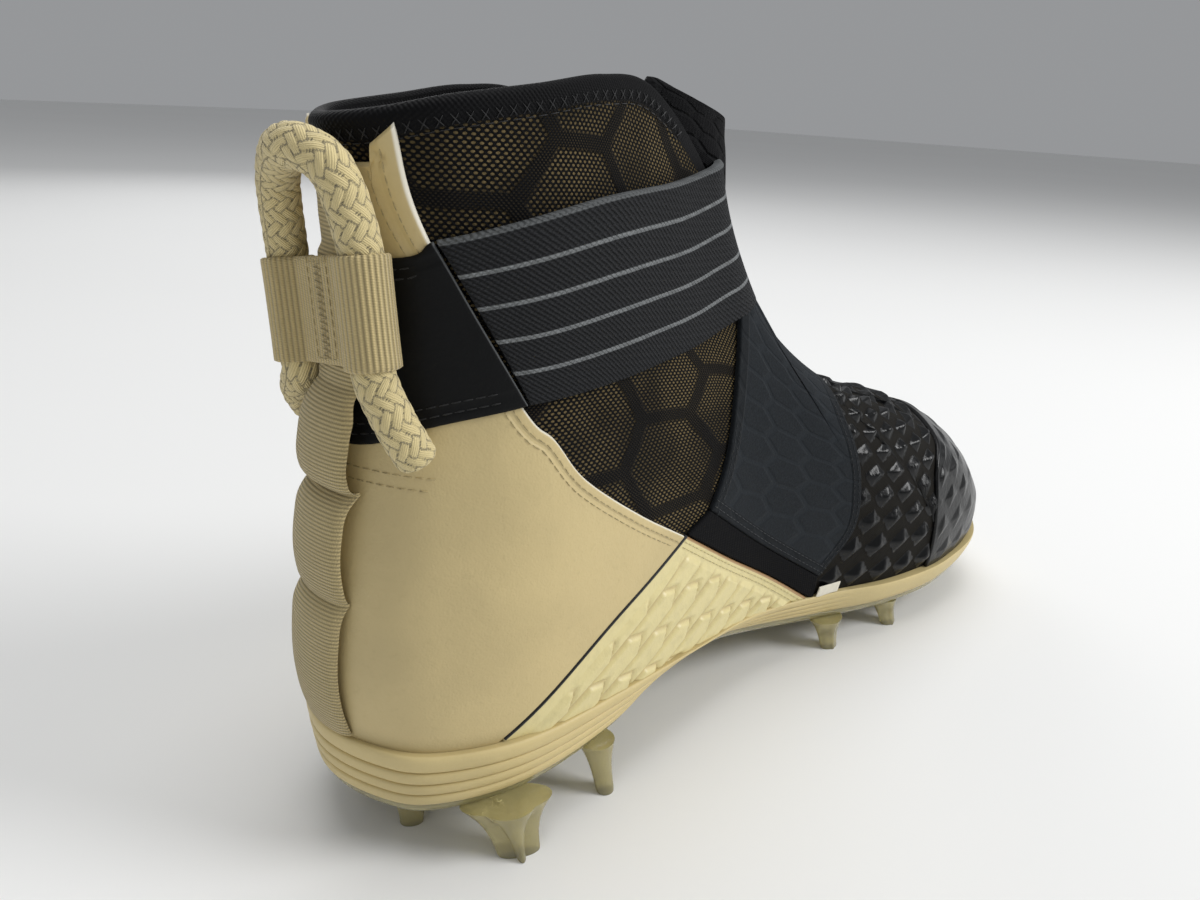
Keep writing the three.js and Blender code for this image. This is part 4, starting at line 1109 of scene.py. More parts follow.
def suede_paint():
    """Charcoal suede pressed with hexagons."""
    tint = colour("suede")
    look = Paint("charcoal suede", tint, Sheen_Weight=0.04, Sheen_Roughness=0.6, Specular_IOR_Level=0.1)
    x, y = look.run()
    place = look.place()
    sway = look.noise(place, 0.06, 1) * 3.0
    cell = look.hexagon((x * 0.8 - y * 0.35) * 0.8 + sway, y + x * 0.3, sizes().suede_cell)
    line = 1 - cell.step(0.03, 0.12)
    nap = look.noise(place, 1.4, 5, 0.65)
    base = look.mix(nap.step(0.3, 0.75), shade(tint, 0.7), shade(tint, 1.3))
    base = look.mix(line * 0.4, base, shade(tint, 1.5))
    bound = 1 - look.value("edge").step(4.0, 4.6)
    return look.done(
        look.mix(bound * 0.6, base, shade(tint, 0.45)),
        0.78 + nap * 0.15,
        nap * 0.16 - line * 0.2 + bound * 0.25)


def gore_paint():
    tint = colour("mesh")
    look = Paint("black stretch cloth", tint, Specular_IOR_Level=0.1)
    x, y = look.run()
    knit = weave_of(x + y, y - x, 0.9)
    return look.done(look.mix(knit, shade(tint, 0.7), shade(tint, 1.5)), 0.7 + knit * 0.15, knit * 0.12)


def cord_paint():
    tint = colour("cord")
    look = Paint("braided cord", tint, Sheen_Weight=0.3, Sheen_Roughness=0.5, Specular_IOR_Level=0.3)
    place = look.place()
    # Painted shade: the cord darkens where the braid sinks between its bundles.
    depth = look.value("relief").step(0.1, 0.75)
    along, _, _ = look.parts(look.vector("strand"))
    threads = (along * (2 * math.pi * 5)).wave() * 0.5 + 0.5
    base = look.mix(depth, shade(tint, 0.42), tint)
    return look.done(
        look.mix(threads * 0.35, base, shade(tint, 0.72)),
        0.72 + threads * 0.12,
        threads * 0.09 + look.noise(place, 2.0, 3) * 0.08)


def webbing_paint(name, key, pitch, along):
    """Ribbed webbing: the ribs lie along the piece's run x or y."""
    tint = colour(key)
    look = Paint(name, tint, Sheen_Weight=0.25, Sheen_Roughness=0.5, Specular_IOR_Level=0.3)
    x, y = look.run()
    place = look.place()
    a, b = (x, y) if along else (y, x)
    rib = ((a * (2 * math.pi / pitch)).wave() * 0.5 + 0.5) ** 0.7
    thread = (b * (2 * math.pi / 0.55) + a * 2.0).wave() * 0.5 + 0.5
    fine = look.noise(place, 0.25, 3)
    # Painted shade in the valleys between the ribs.
    base = look.mix(rib, shade(tint, 0.5), tint)
    base = look.mix(fine.step(0.45, 0.8) * 0.4, base, shade(tint, 0.75))
    return look.done(
        look.mix(thread * 0.25, base, shade(tint, 0.7)),
        0.7 + thread * 0.12,
        rib * 0.22 + thread * 0.08)


def thread_paint(name, tint):
    look = Paint(name, tint, 0.6, Sheen_Weight=0.2, Specular_IOR_Level=0.35)
    place = look.place()
    twist = look.noise(place, 1.8, 2)
    look.put("Base Color", look.mix(twist.step(0.35, 0.7), tint, shade(tint, 0.62)))
    look.bump(twist * 0.15)
    return look.material


def insole_paint():
    tint = colour("insole")
    look = Paint("insole cloth", tint, 0.85, Sheen_Weight=0.2)
    place = look.place()
    x, y, _ = look.parts(place)
    knit = weave_of(x, y, 0.8)
    look.put("Base Color", look.mix(knit, shade(tint, 0.7), tint))
    look.bump(knit * 0.15 + look.noise(place, 0.3, 2) * 0.3)
    return look.material


# Sole

def outline_ring(count, inset, height):
    """A ring of the sole drawn in from its outline."""
    u = np.arange(count) / count
    point = round_ring(SOLE_RING, u)
    tangent = round_ring(SOLE_RING, u + 1e-4) - round_ring(SOLE_RING, u - 1e-4)
    out = unit(np.stack([tangent[:, 1], -tangent[:, 0], 0 * u], 1))
    x = point[:, 0] / SOLE_LENGTH
    point = point - out * inset(x, *sole_at(point[:, 0]))[:, None]
    point[:, 2] = height(*sole_at(point[:, 0]))
    return point


def stacked(name, rings, look, attributes=None):
    """A solid from rings, its ends closed by strips between the two sides."""
    count = len(rings[0])
    faces = ring_faces(len(rings), count)
    for base, turned in ((0, True), ((len(rings) - 1) * count, False)):
        for i in range(count // 2):
            face = [base + i, base + i + 1, base + (-i - 1) % count, base + (-i) % count]
            face = list(dict.fromkeys(face))
            if len(face) > 2:
                faces.append(face[::-1] if turned else face)
    return mesh_piece(name, np.concatenate(rings), faces, look, attributes)


RIB_EDGES = (0.0, 0.22, 0.44, 0.68, 1.0)


def midsole():
    """The cream midsole, with four rounded ribs that run together at the arch."""
    levels = []
    for low, high in zip(RIB_EDGES, RIB_EDGES[1:]):
        t = (1 - np.cos(np.linspace(0, math.pi, 12)[:-1])) / 2
        levels += [(low + (high - low) * s, 1 - (1 - abs(2 * s - 1) ** 3) ** 0.5) for s in t]
    levels.append((1.0, 1.0))
    rings, marks = [], []
    for height, groove in levels:
        rings.append(outline_ring(
            420,
            lambda x, under, base, top, stack, tuck: tuck * (1 - height) ** 1.4 + RIB_DEPTH * (
                (0.35 + 0.3 * abs(2 * height - 1) ** 6) * soft_step(x, 0.5, 0.66)
                + groove * np.minimum(1, stack * 1.3) * (1 - soft_step(x, 0.5, 0.66))),
            lambda under, base, top, stack, tuck: base + (top - base) * height,
        ))
        # Marks for the painted shade in the grooves between the ribs, from the heel to the midfoot.
        ahead = soft_step(rings[-1][:, 0] / SOLE_LENGTH, 0.5, 0.66)
        marks.append(max(0.0, (groove - 0.55) / 0.45) * (1 - ahead))
    return stacked("midsole_ribs", rings, foam_paint(), {"groove": np.concatenate(marks)})


def stud_blank():
    """A straight stud blank, one wide and one deep, with a rounded tip, modelled once for all studs."""
    bpy.ops.object.select_all(action="DESELECT")
    bpy.ops.mesh.primitive_cylinder_add(vertices=28, radius=1, depth=1.12, location=(0, 0, -0.44))
    bpy.ops.object.mode_set(mode="EDIT")
    for depth in (-0.02, 0.08, 0.2, 0.32, 0.44, 0.56, 0.7, 0.85):
        bpy.ops.mesh.select_all(action="SELECT")
        bpy.ops.mesh.bisect(plane_co=(0, 0, -depth), plane_no=(0, 0, 1))
    bpy.ops.mesh.select_all(action="DESELECT")
    bpy.ops.object.mode_set(mode="OBJECT")
    blank = bpy.context.active_object
    for edge_ in blank.data.edges:
        ends = [(blank.matrix_world @ blank.data.vertices[k].co).z for k in edge_.vertices]
        edge_.select = max(ends) < -0.99
    bpy.ops.object.mode_set(mode="EDIT")
    bpy.ops.mesh.bevel(offset=0.09, segments=3, affect="EDGES")
    bpy.ops.object.mode_set(mode="OBJECT")
    return taken(blank)


# How far down a stud, and how much of its flare is left there
FLARE = ((-0.12, 0.0, 0.1, 0.2, 0.35, 0.55, 0.8, 1.0), (1.0, 0.8, 0.63, 0.48, 0.3, 0.15, 0.04, 0.0))


def stud(blank, values, length, width, look):
    """One stud: the blank drawn out to its flared foot, turned, splayed and set under the plate."""
    x, y, _, _, along, across, splay, turn, _ = values
    points, faces = blank
    depth = -points[:, 2]
    flare = np.interp(depth, *FLARE)
    root = float(sole_at(np.array([x * SOLE_LENGTH]))[0][0])
    a = points[:, 0] * (length / 2 + flare * along * STUD_LENGTH)
    b = points[:, 1] * (width / 2 + flare * across * STUD_LENGTH)
    c, s = math.cos(math.radians(turn)), math.sin(math.radians(turn))
    lean = -np.sign(y) * splay * STUD_LENGTH * (1 - depth)
    placed = np.stack([
        a * c - b * s + x * SOLE_LENGTH,
        a * s + b * c + y * SOLE_WIDTH + lean,
        root * (1 - depth),
    ], 1)
    return mesh_piece("stud", placed, faces, look)


def sole_plate():
    """The translucent plate with its studs joined on."""
    look = plate_paint()
    rings = [outline_ring(
        300,
        lambda x, under, base, top, stack, tuck: tuck + RIB_DEPTH + PLATE_ROUND * (1 - height) ** 2.4,
        lambda under, base, top, stack, tuck: under + height * PLATE_THICKNESS,
    ) for height in (0, 0.06, 0.14, 0.25, 0.4, 0.6, 0.8, 1)]
    plate = stacked("sole_plate_studs", rings, look)
    blank = stud_blank()
    group = bpy.data.collections.new("studs")
    for values in STUDS:
        length, width = values[2] * STUD_LENGTH, values[3] * STUD_LENGTH
        studs = [stud(blank, values, length, width, look)]
        if values[8]:
            studs.append(stud(blank, values, width * 0.75, length * 0.75, look))
        for part in studs:
            group.objects.link(part)
    join = plate.modifiers.new("join studs", "BOOLEAN")
    join.operation, join.operand_type, join.collection, join.solver = "UNION", "COLLECTION", group, "EXACT"
    select_only(plate)
    bpy.ops.object.modifier_apply(modifier=join.name)
    for part in list(group.objects):
        remove(part)
    bpy.data.collections.remove(group)
    smooth(plate, 50)
    return plate


# Upper

# Soft folds of the cloth: two ends in shares of the length and height, depth and half width in millimetres
FOLDS = (
    (0.2, 0.5, 0.33, 0.42, -0.9, 5.0),
    (0.24, 0.36, 0.34, 0.3, -0.8, 4.0),
    (0.22, 0.58, 0.36, 0.5, 0.7, 5.0),
    (0.1, 0.86, 0.24, 0.92, -0.6, 4.0),
    (0.18, 0.42, 0.26, 0.33, 0.6, 5.0),
    (0.28, 0.95, 0.33, 0.8, -0.5, 4.0),
)


def folded(points):
    """How far the soft folds push the cloth out or in."""
    out = np.zeros(points.shape[:-1])
    for x0, z0, x1, z1, depth, width in FOLDS:
        line = edge([(x0, z0), (x1, z1)])
        out += depth * np.exp(-(distance_to(line, points) / width) ** 2)
    return out


def sock():
    """The knit body: a wall with a bound, padded collar, open at the top and down the throat."""
    count, rows, inner_rows, lip = 480, 120, 30, 9
    u = np.arange(count) / count
    padding = np.interp(station_of(u), np.arange(len(STATIONS)), STATIONS[:, 14])
    binding = np.minimum(1, padding / STATIONS[COLLAR_CORNER, 14])
    steps = np.linspace(0, 1, 101)
    rise = run_of(u[:, None], steps[None, :])[..., 1]
    thick_top = WALL + PADDING * padding
    stop = np.array([np.interp(r[-1] - t / 2, r, steps) for r, t in zip(rise, thick_top)])
    v = stop[:, None] * np.linspace(0, 1, rows)[None, :]
    gu = np.repeat(u[:, None], rows, 1)
    normal, surface, run = wall_facing(gu, v), form(gu, v), run_of(gu, v)
    top = rise[:, -1:] - run[..., 1]
    band = (1 - np.clip((top - 5.0) / 1.0, 0, 1)) * binding[:, None] * 0.45
    outer = surface + normal * (band + folded(surface) * np.clip(top / 12, 0, 1))[..., None]
    end_n, end_p = normal[:, -1], surface[:, -1]
    upward = unit(form(u, np.ones(count)) - end_p)
    angle = np.linspace(0, math.pi, lip + 2)[1:-1]
    radius = thick_top / 2 + band[:, -1] / 2
    middle = end_p + end_n * (band[:, -1] - radius)[:, None]
    rolled = (middle[:, None, :] + end_n[:, None, :] * (np.cos(angle)[None, :, None] * radius[:, None, None])
              + upward[:, None, :] * (np.sin(angle)[None, :, None] * thick_top[:, None, None] / 2))
    iv = stop[:, None] * np.linspace(1, 0, inner_rows)[None, :]
    iu = np.repeat(u[:, None], inner_rows, 1)
    ramp = soft_step(iv, 0.7, 0.95)
    depth = WALL + PADDING * padding[:, None] * ramp
    inner = form(iu, iv) - wall_facing(iu, iv) * depth[..., None]
    rows_all = np.concatenate([outer, rolled, inner], 1)
    columns = rows_all.shape[1]
    faces = grid_faces(count, columns, closed=True)
    for i in range(count):
        a, b = i * columns, (i + 1) % count * columns
        faces.append((a, a + columns - 1, b + columns - 1, b))
    lip_run = np.repeat(run[:, -1:], lip, 1) + np.arange(1, lip + 1)[None, :, None] * np.array([0, 0.5, 0])
    inner_run = run_of(iu, iv)
    marks = {
        "run": np.concatenate([run, lip_run, inner_run], 1).reshape(-1, 3),
        "top": np.concatenate([top, np.zeros((count, lip)), rise[:, -1:] - inner_run[..., 1]], 1).ravel(),
        "outside": np.concatenate([np.ones((count, rows + lip)), np.zeros((count, inner_rows))], 1).ravel(),
    }
    return mesh_piece("knit_upper", rows_all.reshape(-1, 3), faces, mesh_paint(), marks, angle=60)


def tongue_pad():
    """The padded tongue under the throat, with a rounded edge all round."""
    first, last = COLLAR_CORNER / RING, (len(STATIONS) - 1 - 2 / 3) / RING
    u = np.linspace(first, last, 80)
    half = np.linspace(6 / 7, 2, 34)
    v = np.concatenate([half, 4 - half[-2::-1]])
    gu, gv = np.meshgrid(u, v, indexing="ij")
    side = np.clip((np.abs(np.linspace(-1, 1, len(v))) - 0.6) / 0.4, 0, 1)
    gu = gu + (1 - np.sqrt(1 - 0.98 * side ** 2))[None, :] * 0.03 * ((last - gu) / (last - first)) ** 2
    border = np.minimum(np.minimum(np.arange(80)[:, None], 79 - np.arange(80)[:, None]) * 2.0,
                        np.minimum(np.arange(len(v))[None, :], len(v) - 1 - np.arange(len(v))[None, :]) * 1.6)
    fill = rounding(border, TONGUE_THICKNESS * 0.8, 0.15)
    middle = -TONGUE_DEPTH - TONGUE_THICKNESS / 2
    normal, surface = facing(gu, gv), form(gu, gv)
    outer = surface + normal * (middle + fill * TONGUE_THICKNESS / 2)[..., None]
    inner = surface + normal * (middle - fill * TONGUE_THICKNESS / 2)[..., None]
    run = run_of(gu, np.minimum(gv, 2))
    run[..., 1] = np.where(gv > 2, 2 * run[:, len(half) - 1:len(half), 1] - run[..., 1], run[..., 1])
    return slab("tongue_pad", outer, inner, knit_paint(), {"run": run}, 60)


def ankle_turn(point):
    """The angle of a point about the ankle's upright middle line."""
    return np.arctan2(ANKLE_ROUND * point[..., 1], point[..., 0] - ANKLE_X)


def strap_places(turn, share, low, high):
    """Where the last meets given turns about the ankle and shares of the strap's width, as u and v."""
    def read(u, v):
        point = eased(u, v, ANKLE_EASE)
        x, z = point[..., 0], point[..., 2]
        bottom, top = np.interp(x, *low.T), np.interp(x, *high.T)
        return np.stack([ankle_turn(point), 3 * (z - bottom) / (top - bottom)], -1)

    target = np.stack([turn, 3 * share], -1)
    u, v = np.zeros(turn.shape), np.zeros(turn.shape)
    for side in (-1, 1):
        seed_u, seed_v = np.meshgrid(np.linspace(0.03, 0.47, 150), np.linspace(0.3, 1.99, 120), indexing="ij")
        seed_u = seed_u if side < 0 else 1 - seed_u
        seeds = read(seed_u, seed_v).reshape(-1, 2)
        tree = KDTree(len(seeds))
        for k, (a, b) in enumerate(seeds):
            tree.insert((a, b, 0), k)
        tree.balance()
        chosen = (turn < 0) if side < 0 else (turn >= 0)
        near = [tree.find((a, b, 0))[1] for a, b in target[chosen]]
        u[chosen], v[chosen] = seed_u.ravel()[near], seed_v.ravel()[near]
    return homed(read, target, u, v, 8, 1e-2, 1.99)


def slab(name, outer, inner, look, marks, angle=40.0):
    """A closed sheet from an outer and an inner grid of points."""
    rows, columns = outer.shape[:2]
    n = rows * columns
    faces = grid_faces(rows, columns) + [face[::-1] for face in grid_faces(rows, columns, n)]
    border = list(range(columns)) + [i * columns + columns - 1 for i in range(1, rows)]
    border += [(rows - 1) * columns + j for j in range(columns - 2, -1, -1)]
    border += [i * columns for i in range(rows - 2, 0, -1)]
    faces += [(a, b, b + n, a + n) for a, b in zip(border, border[1:] + border[:1])]
    points = np.concatenate([outer.reshape(-1, 3), inner.reshape(-1, 3)])
    flat = {key: np.reshape(value, (n, -1)).squeeze() for key, value in marks.items()}
    doubled = {key: np.concatenate([value, value]) for key, value in flat.items()}
    return mesh_piece(name, points, faces, look, doubled, angle=angle)


def bridged(grid, first, last):
    """The same grid with its columns from first to last on one even arc between their neighbours."""
    start, end = grid[first], grid[last]
    leaving, arriving = unit(start - grid[first - 6]), unit(grid[last + 6] - end)
    bend = np.arccos(np.clip(np.sum(leaving * arriving, -1, keepdims=True), -0.99, 0.99))
    pull = np.linalg.norm(end - start, axis=-1, keepdims=True) * 2 * np.tan(bend / 4) / np.sin(bend / 2)
    t = np.linspace(0, 1, last - first + 1)[:, None, None]
    arc = arc_between(start, end, pull * leaving, pull * arriving, t)
    return np.concatenate([grid[:first], arc, grid[last + 1:]])


def ankle_band(look):
    """The elastic from the base panel round the front of the ankle, laid along its own stripes."""
    low, high = smooth_run(edge(ANKLE_BOTTOM, 0.6)), smooth_run(edge(ANKLE_TOP, 0.6))
    columns, rows = 420, 90
    share = 0.5 * np.linspace(0, 1, rows) + 0.25 * (1 - np.cos(math.pi * np.linspace(0, 1, rows)))
    seam = PANEL_FRONT[1] + (PANEL_FRONT[0] - PANEL_FRONT[1]) * share[:, None] + np.array([0.5, 0])
    ends = [ankle_turn(form(*place_on(side, seam))) for side in (-1, 1)]
    t = np.linspace(0, 1, columns)[:, None]
    turn = ends[0][None, :] * (1 - t) + ends[1][None, :] * t
    u, v = strap_places(turn, np.repeat(share[None, :], columns, 0), low, high)
    surface = bridged(eased(u, v, ANKLE_EASE), int(0.37 * columns), int(0.63 * columns))
    normal = unit(np.cross(np.gradient(surface, axis=0), np.gradient(surface, axis=1)))
    from_middle = (surface - np.array([ANKLE_X, 0, 0])) * np.array([1, 1, 0])
    normal *= np.sign(np.sum(normal * from_middle, -1, keepdims=True))
    across = np.array([length_along(column) for column in surface])
    along = length_along(surface[:, rows // 2])
    width = across[:, -1:]
    from_ends = np.minimum(along, along[-1] - along)[:, None] + 0.5
    border = np.minimum(np.minimum(across, width - across), from_ends)
    height = CLEAR + ELASTIC * rounding(border, 1.1, 0.55)
    run = np.stack([np.repeat(along[:, None], rows, 1), across, 0 * across], -1)
    marks = {"run": run, "lower": across, "upper": width - across}
    outer, inner = surface + normal * height[..., None], surface + normal * CLEAR
    return slab("striped_ankle_strap", outer, inner, look, marks)


def vamp_scales(surface, run, distance):
    """Glossy pointed scales in set-off rows, pressed on the mesh."""
    along, up = surface[..., 0] / 12.5, run[..., 1] / 12.0
    row = np.floor(up)
    a = (along + 0.5 * (row % 2)) % 1 - 0.5
    b = up % 1 - 0.5
    reach = np.abs(a - 0.25 * b) / 0.46 + np.abs(b) / 0.47
    fade = np.clip((distance - 3.0) / 2.5, 0, 1)
    facet = np.clip(1 - reach, 0, 1)
    height = np.minimum(facet / 0.8, 1) * sizes().vamp_height * fade
    return height, np.clip(facet * 6, 0, 1) * fade


def toe_scales(surface, run, distance):
    raised, mark = vamp_scales(surface, run, distance + 1.5)
    ahead = 1 - np.clip((surface[..., 0] / SOLE_LENGTH - 0.8) / 0.14, 0, 1)
    return raised * 0.4 * ahead, np.maximum(mark, 0.12 + 0.88 * ahead)


def cage_scales(surface, run, distance):
    """Long pointed scales, rising to the right and dropping at their points, with a mark for the painted
    shade in the grooves round them.
    """
    lean = math.radians(33)
    x, z = surface[..., 0], surface[..., 2]
    along = (x * math.cos(lean) + z * math.sin(lean)) / 17.0
    across = (z * math.cos(lean) - x * math.sin(lean)) / 8.5
    row = np.floor(across)
    b = across - row - 0.5
    t = (along + 0.5 * (row % 2) + 0.55 * np.abs(b)) % 1
    fade = np.clip((distance - 4.5) / 2.0, 0, 1)
    rim = np.minimum((0.5 - np.abs(b)) * 8.5, np.minimum(t, 1 - t) * 12.0)
    height = soft_step(rim, 0.0, 1.5) * (0.5 + 0.5 * t) * sizes().scale_height * fade
    # The second value marks the grooves round the scales, where the film is given painted shade.
    return height, (1 - soft_step(rim, 0.0, 0.8)) * 0.55 * fade


# Side-view outlines of the panels

FRONT_SEAM = smooth_run(edge(QUARTER_FRONT))
CAGE_SEAM = smooth_run(edge(CAGE_TOP))
PANEL_FRONT = edge([(0.077, 0.775), (0.134, 0.54)])
QUARTER = region(edge(QUARTER_BACK), edge([(-0.1, -0.3), (0.076, -0.3)]), edge(PIPING[::-1]),
                 edge(QUARTER_FRONT[::-1]))
CAGE = region(edge(PIPING, 0.6), edge([(0.076, -0.3), (0.56, -0.3)], 0.6), edge(CAGE_TOP[::-1], 0.6))
GORE = region(edge(CAGE_TOP, 1.2), edge(INSTEP_FOOT[::-1], -0.3))
INSTEP = region(edge(INSTEP_BACK), edge(INSTEP_FOOT), edge(INSTEP_FRONT))
TOE_CAP = region(edge(TOE_CAP_BACK), edge([(1.2, 0.6), (1.2, -0.2)]))
BASE_PANEL = region(edge(PANEL_TOP), edge(PANEL_BOTTOM))
VAMP = region(edge([(0.555, -0.3)], 0), edge(INSTEP_FRONT, -5.0), edge([(0.95, 0.7)]),
              edge(TOE_CAP_BACK[::-1], 5.0), edge([(0.76, -0.3)]))
TAB = edge([(0.566, -0.062), (0.6, -0.062), (0.6, -0.035), (0.566, -0.035)])


# Heel pull

def heel_x(z):
    v = np.linspace(0, 1, 400)
    line = form(np.zeros(400), v)
    return np.interp(z, line[:, 2], line[:, 0])


def pull_point(x, y, z):
    """A point given beside the upright sleeve, rolled with it."""
    c, s = math.cos(LOOP_ROLL), math.sin(LOOP_ROLL)
    x, y, z = np.broadcast_arrays(*(np.asarray(k, float) for k in (x, y, z)))
    return np.stack([x, y * c - z * s, y * s + z * c + SLEEVE_MIDDLE_Z], -1)


def wall_share_at(u, z):
    v = np.linspace(0, 1, 400)
    return float(np.interp(z, form(np.full(400, u), v)[:, 2], v))


def cord_leg(side):
    u = (-side * 1.75 / RING) % 1
    v = wall_share_at(u, up_to(0.47))
    end = lay(np.array(u), np.array(v), 2 * CLEAR + 1.3 + CORD_RADIUS + 0.4)
    low, first, second, third = (pull_point(CORD_X, side * BOW, share * SLEEVE_HEIGHT)
                                 for share in (-0.58, -0.3, 0.3, 0.55))
    middle = (low + end) / 2 + np.array([-1.2, side * 1.2, 0])
    return [end, middle, low, first, second, third]


def even_curve(points, count):
    """Places evenly spaced along the smooth curve through points set at uneven steps."""
    points = np.array(points)
    points = np.vstack([2 * points[0] - points[1], points, 2 * points[-1] - points[-2]])
    out = []
    for a, b, c, d in zip(points, points[1:], points[2:], points[3:]):
        ta, tb, tc = (np.linalg.norm(q - p) ** 0.5 for p, q in ((a, b), (b, c), (c, d)))
        m1 = ((b - a) / ta - (c - a) / (ta + tb) + (c - b) / tb) * tb
        m2 = ((c - b) / tb - (d - b) / (tb + tc) + (d - c) / tc) * tb
        t = np.linspace(0, 1, 60, endpoint=False)[:, None]
        out.append(arc_between(b, c, m1, m2, t))
    line = np.vstack([*out, points[-2][None]])
    run = length_along(line)
    at = np.linspace(0, run[-1], count)
    return read_along(line, run, at), at


def bundle(t):
    """The round back of one bundle of threads, for each whole number of t."""
    return np.clip(1 - (2 * np.abs(t % 1 - 0.5)) ** 2.6, 0, 1) ** 0.5


def pull_cord():
    """The braided cord, bent to a loop, its two ends sewn to the quarter."""
    crown = SLEEVE_HEIGHT / 2 + LOOP_RISE - CORD_RADIUS
    arch = []
    for angle in (-math.pi / 4, 0, math.pi / 4):
        share = math.cos(angle) ** 2
        arch.append(pull_point(CORD_X - LOOP_LEAN * share, BOW * math.sin(angle) - LOOP_SWAY * share,
                               crown - BOW * (1 - math.cos(angle))))
    rows, sides = 760, 72
    centre, at = even_curve(cord_leg(-1) + arch + cord_leg(1)[::-1], rows)
    along = unit(np.gradient(centre, axis=0))
    out = np.zeros_like(along)
    here = np.array([-1.0, 0, 0])
    for i in range(rows):
        here = here - along[i] * (here @ along[i])
        here /= np.linalg.norm(here)
        out[i] = here
    across = np.cross(along, out)
    angle = np.arange(sides) * 2 * math.pi / sides
    a = 10 * angle[None, :] / (2 * math.pi) + at[:, None] / 3.3
    b = -10 * angle[None, :] / (2 * math.pi) + at[:, None] / 3.3
    over_a = bundle(a) * (0.62 + 0.38 * np.sin(math.pi / 2 * (b + np.floor(a))))
    over_b = bundle(b) * (0.62 - 0.38 * np.sin(math.pi / 2 * (a + np.floor(b))))
    relief = np.maximum(over_a, over_b)
    radius = CORD_RADIUS - sizes().braid_depth * 0.6 + sizes().braid_depth * relief
    ends = np.minimum(at, at[-1] - at)
    radius *= (0.8 + 0.2 * np.sqrt(np.clip(ends / 1.2, 0, 1)))[:, None]
    points = (centre[:, None, :] + round_each(out, across, angle) * radius[..., None]).reshape(-1, 3)
    strand = np.where((over_a > over_b)[..., None], np.stack([a, b, 0 * a], -1), np.stack([b, a, 0 * a], -1))
    # The braid's relief also sets the painted shade between its bundles.
    marks = {"relief": relief.ravel(), "strand": strand.reshape(-1, 3)}
    return mesh_piece("braided_pull_cord", points, capped(rows, sides), cord_paint(), marks, angle=80)


def sleeve_section():
    """Outline of the woven sleeve across its height: a tunnel round each leg and a flat web between."""
    near = heel_x(SLEEVE_MIDDLE_Z) - WEB_STAND - CORD_X
    far = near - WEB_THICKNESS
    right = [(SLEEVE_RADIUS * math.cos(t), BOW + SLEEVE_RADIUS * math.sin(t))
             for t in np.linspace(-math.radians(75), math.pi + math.radians(28), 44)]
    web_far = [(far, y) for y in np.linspace(BOW - 6.5, -BOW + 6.5, 30)]
    left = [(x, -y) for x, y in right[::-1]]
    web_near = [(near, y) for y in np.linspace(-BOW + 6.0, BOW - 6.0, 30)]
    line = np.array(right + web_far + left + web_near + right[:1])
    run = length_along(line)
    at = np.linspace(0, run[-1], 361)[:-1]
    return read_along(line, run, at), at


def pull_sleeve():
    """The woven sleeve that holds the two legs of the cord together."""
    section, at = sleeve_section()
    tangent = unit(np.roll(section, -1, 0) - np.roll(section, 1, 0))
    out = np.stack([tangent[:, 1], -tangent[:, 0]], 1)
    if (out * (section - section.mean(0))).sum() < 0:
        out = -out
    half = SLEEVE_HEIGHT / 2
    levels = [(-half + 2.5, -0.85), (-half + 0.3, -0.8), (-half, -0.4), (-half + 0.3, 0.05)]
    levels += [(z, 0.12 * abs(z / half) ** 3) for z in np.linspace(-half + 1.2, half - 1.2, 34)]
    levels += [(half - 0.3, 0.05), (half, -0.4), (half - 0.3, -0.8), (half - 2.5, -0.85)]
    rib = 0.1 * np.cos(at * 2 * math.pi / SLEEVE_RIB)
    rings = []
    for z, grow in levels:
        line = section + out * (grow + (rib if grow > 0 else 0 * rib))[:, None]
        rings.append(pull_point(line[:, 0] + CORD_X, line[:, 1], z))
    points = np.array(rings)
    count = len(at)
    faces = [(a, d, c, b) for a, b, c, d in ring_faces(len(rings), count)]
    faces += [tuple(range(count)), tuple((len(rings) - 1) * count + i for i in range(count))[::-1]]
    height = np.array([z for z, _ in levels])
    run = np.stack([np.tile(at, len(rings)), np.repeat(height, count), np.zeros(count * len(rings))], 1)
    look = webbing_paint("ribbed sleeve webbing", "webbing", SLEEVE_RIB, True)
    return mesh_piece("woven_sleeve", points.reshape(-1, 3), faces, look, {"run": run}, angle=60)


# Folds of the ribbon down the heel: from and to as shares of the drop below the sleeve, bulge, peak
RIBBON_FOLDS = ((0.05, 0.3, 1.0, 0.62), (0.31, 0.595, 0.9, 0.3), (0.605, 1.0, 0.5, 0.2))


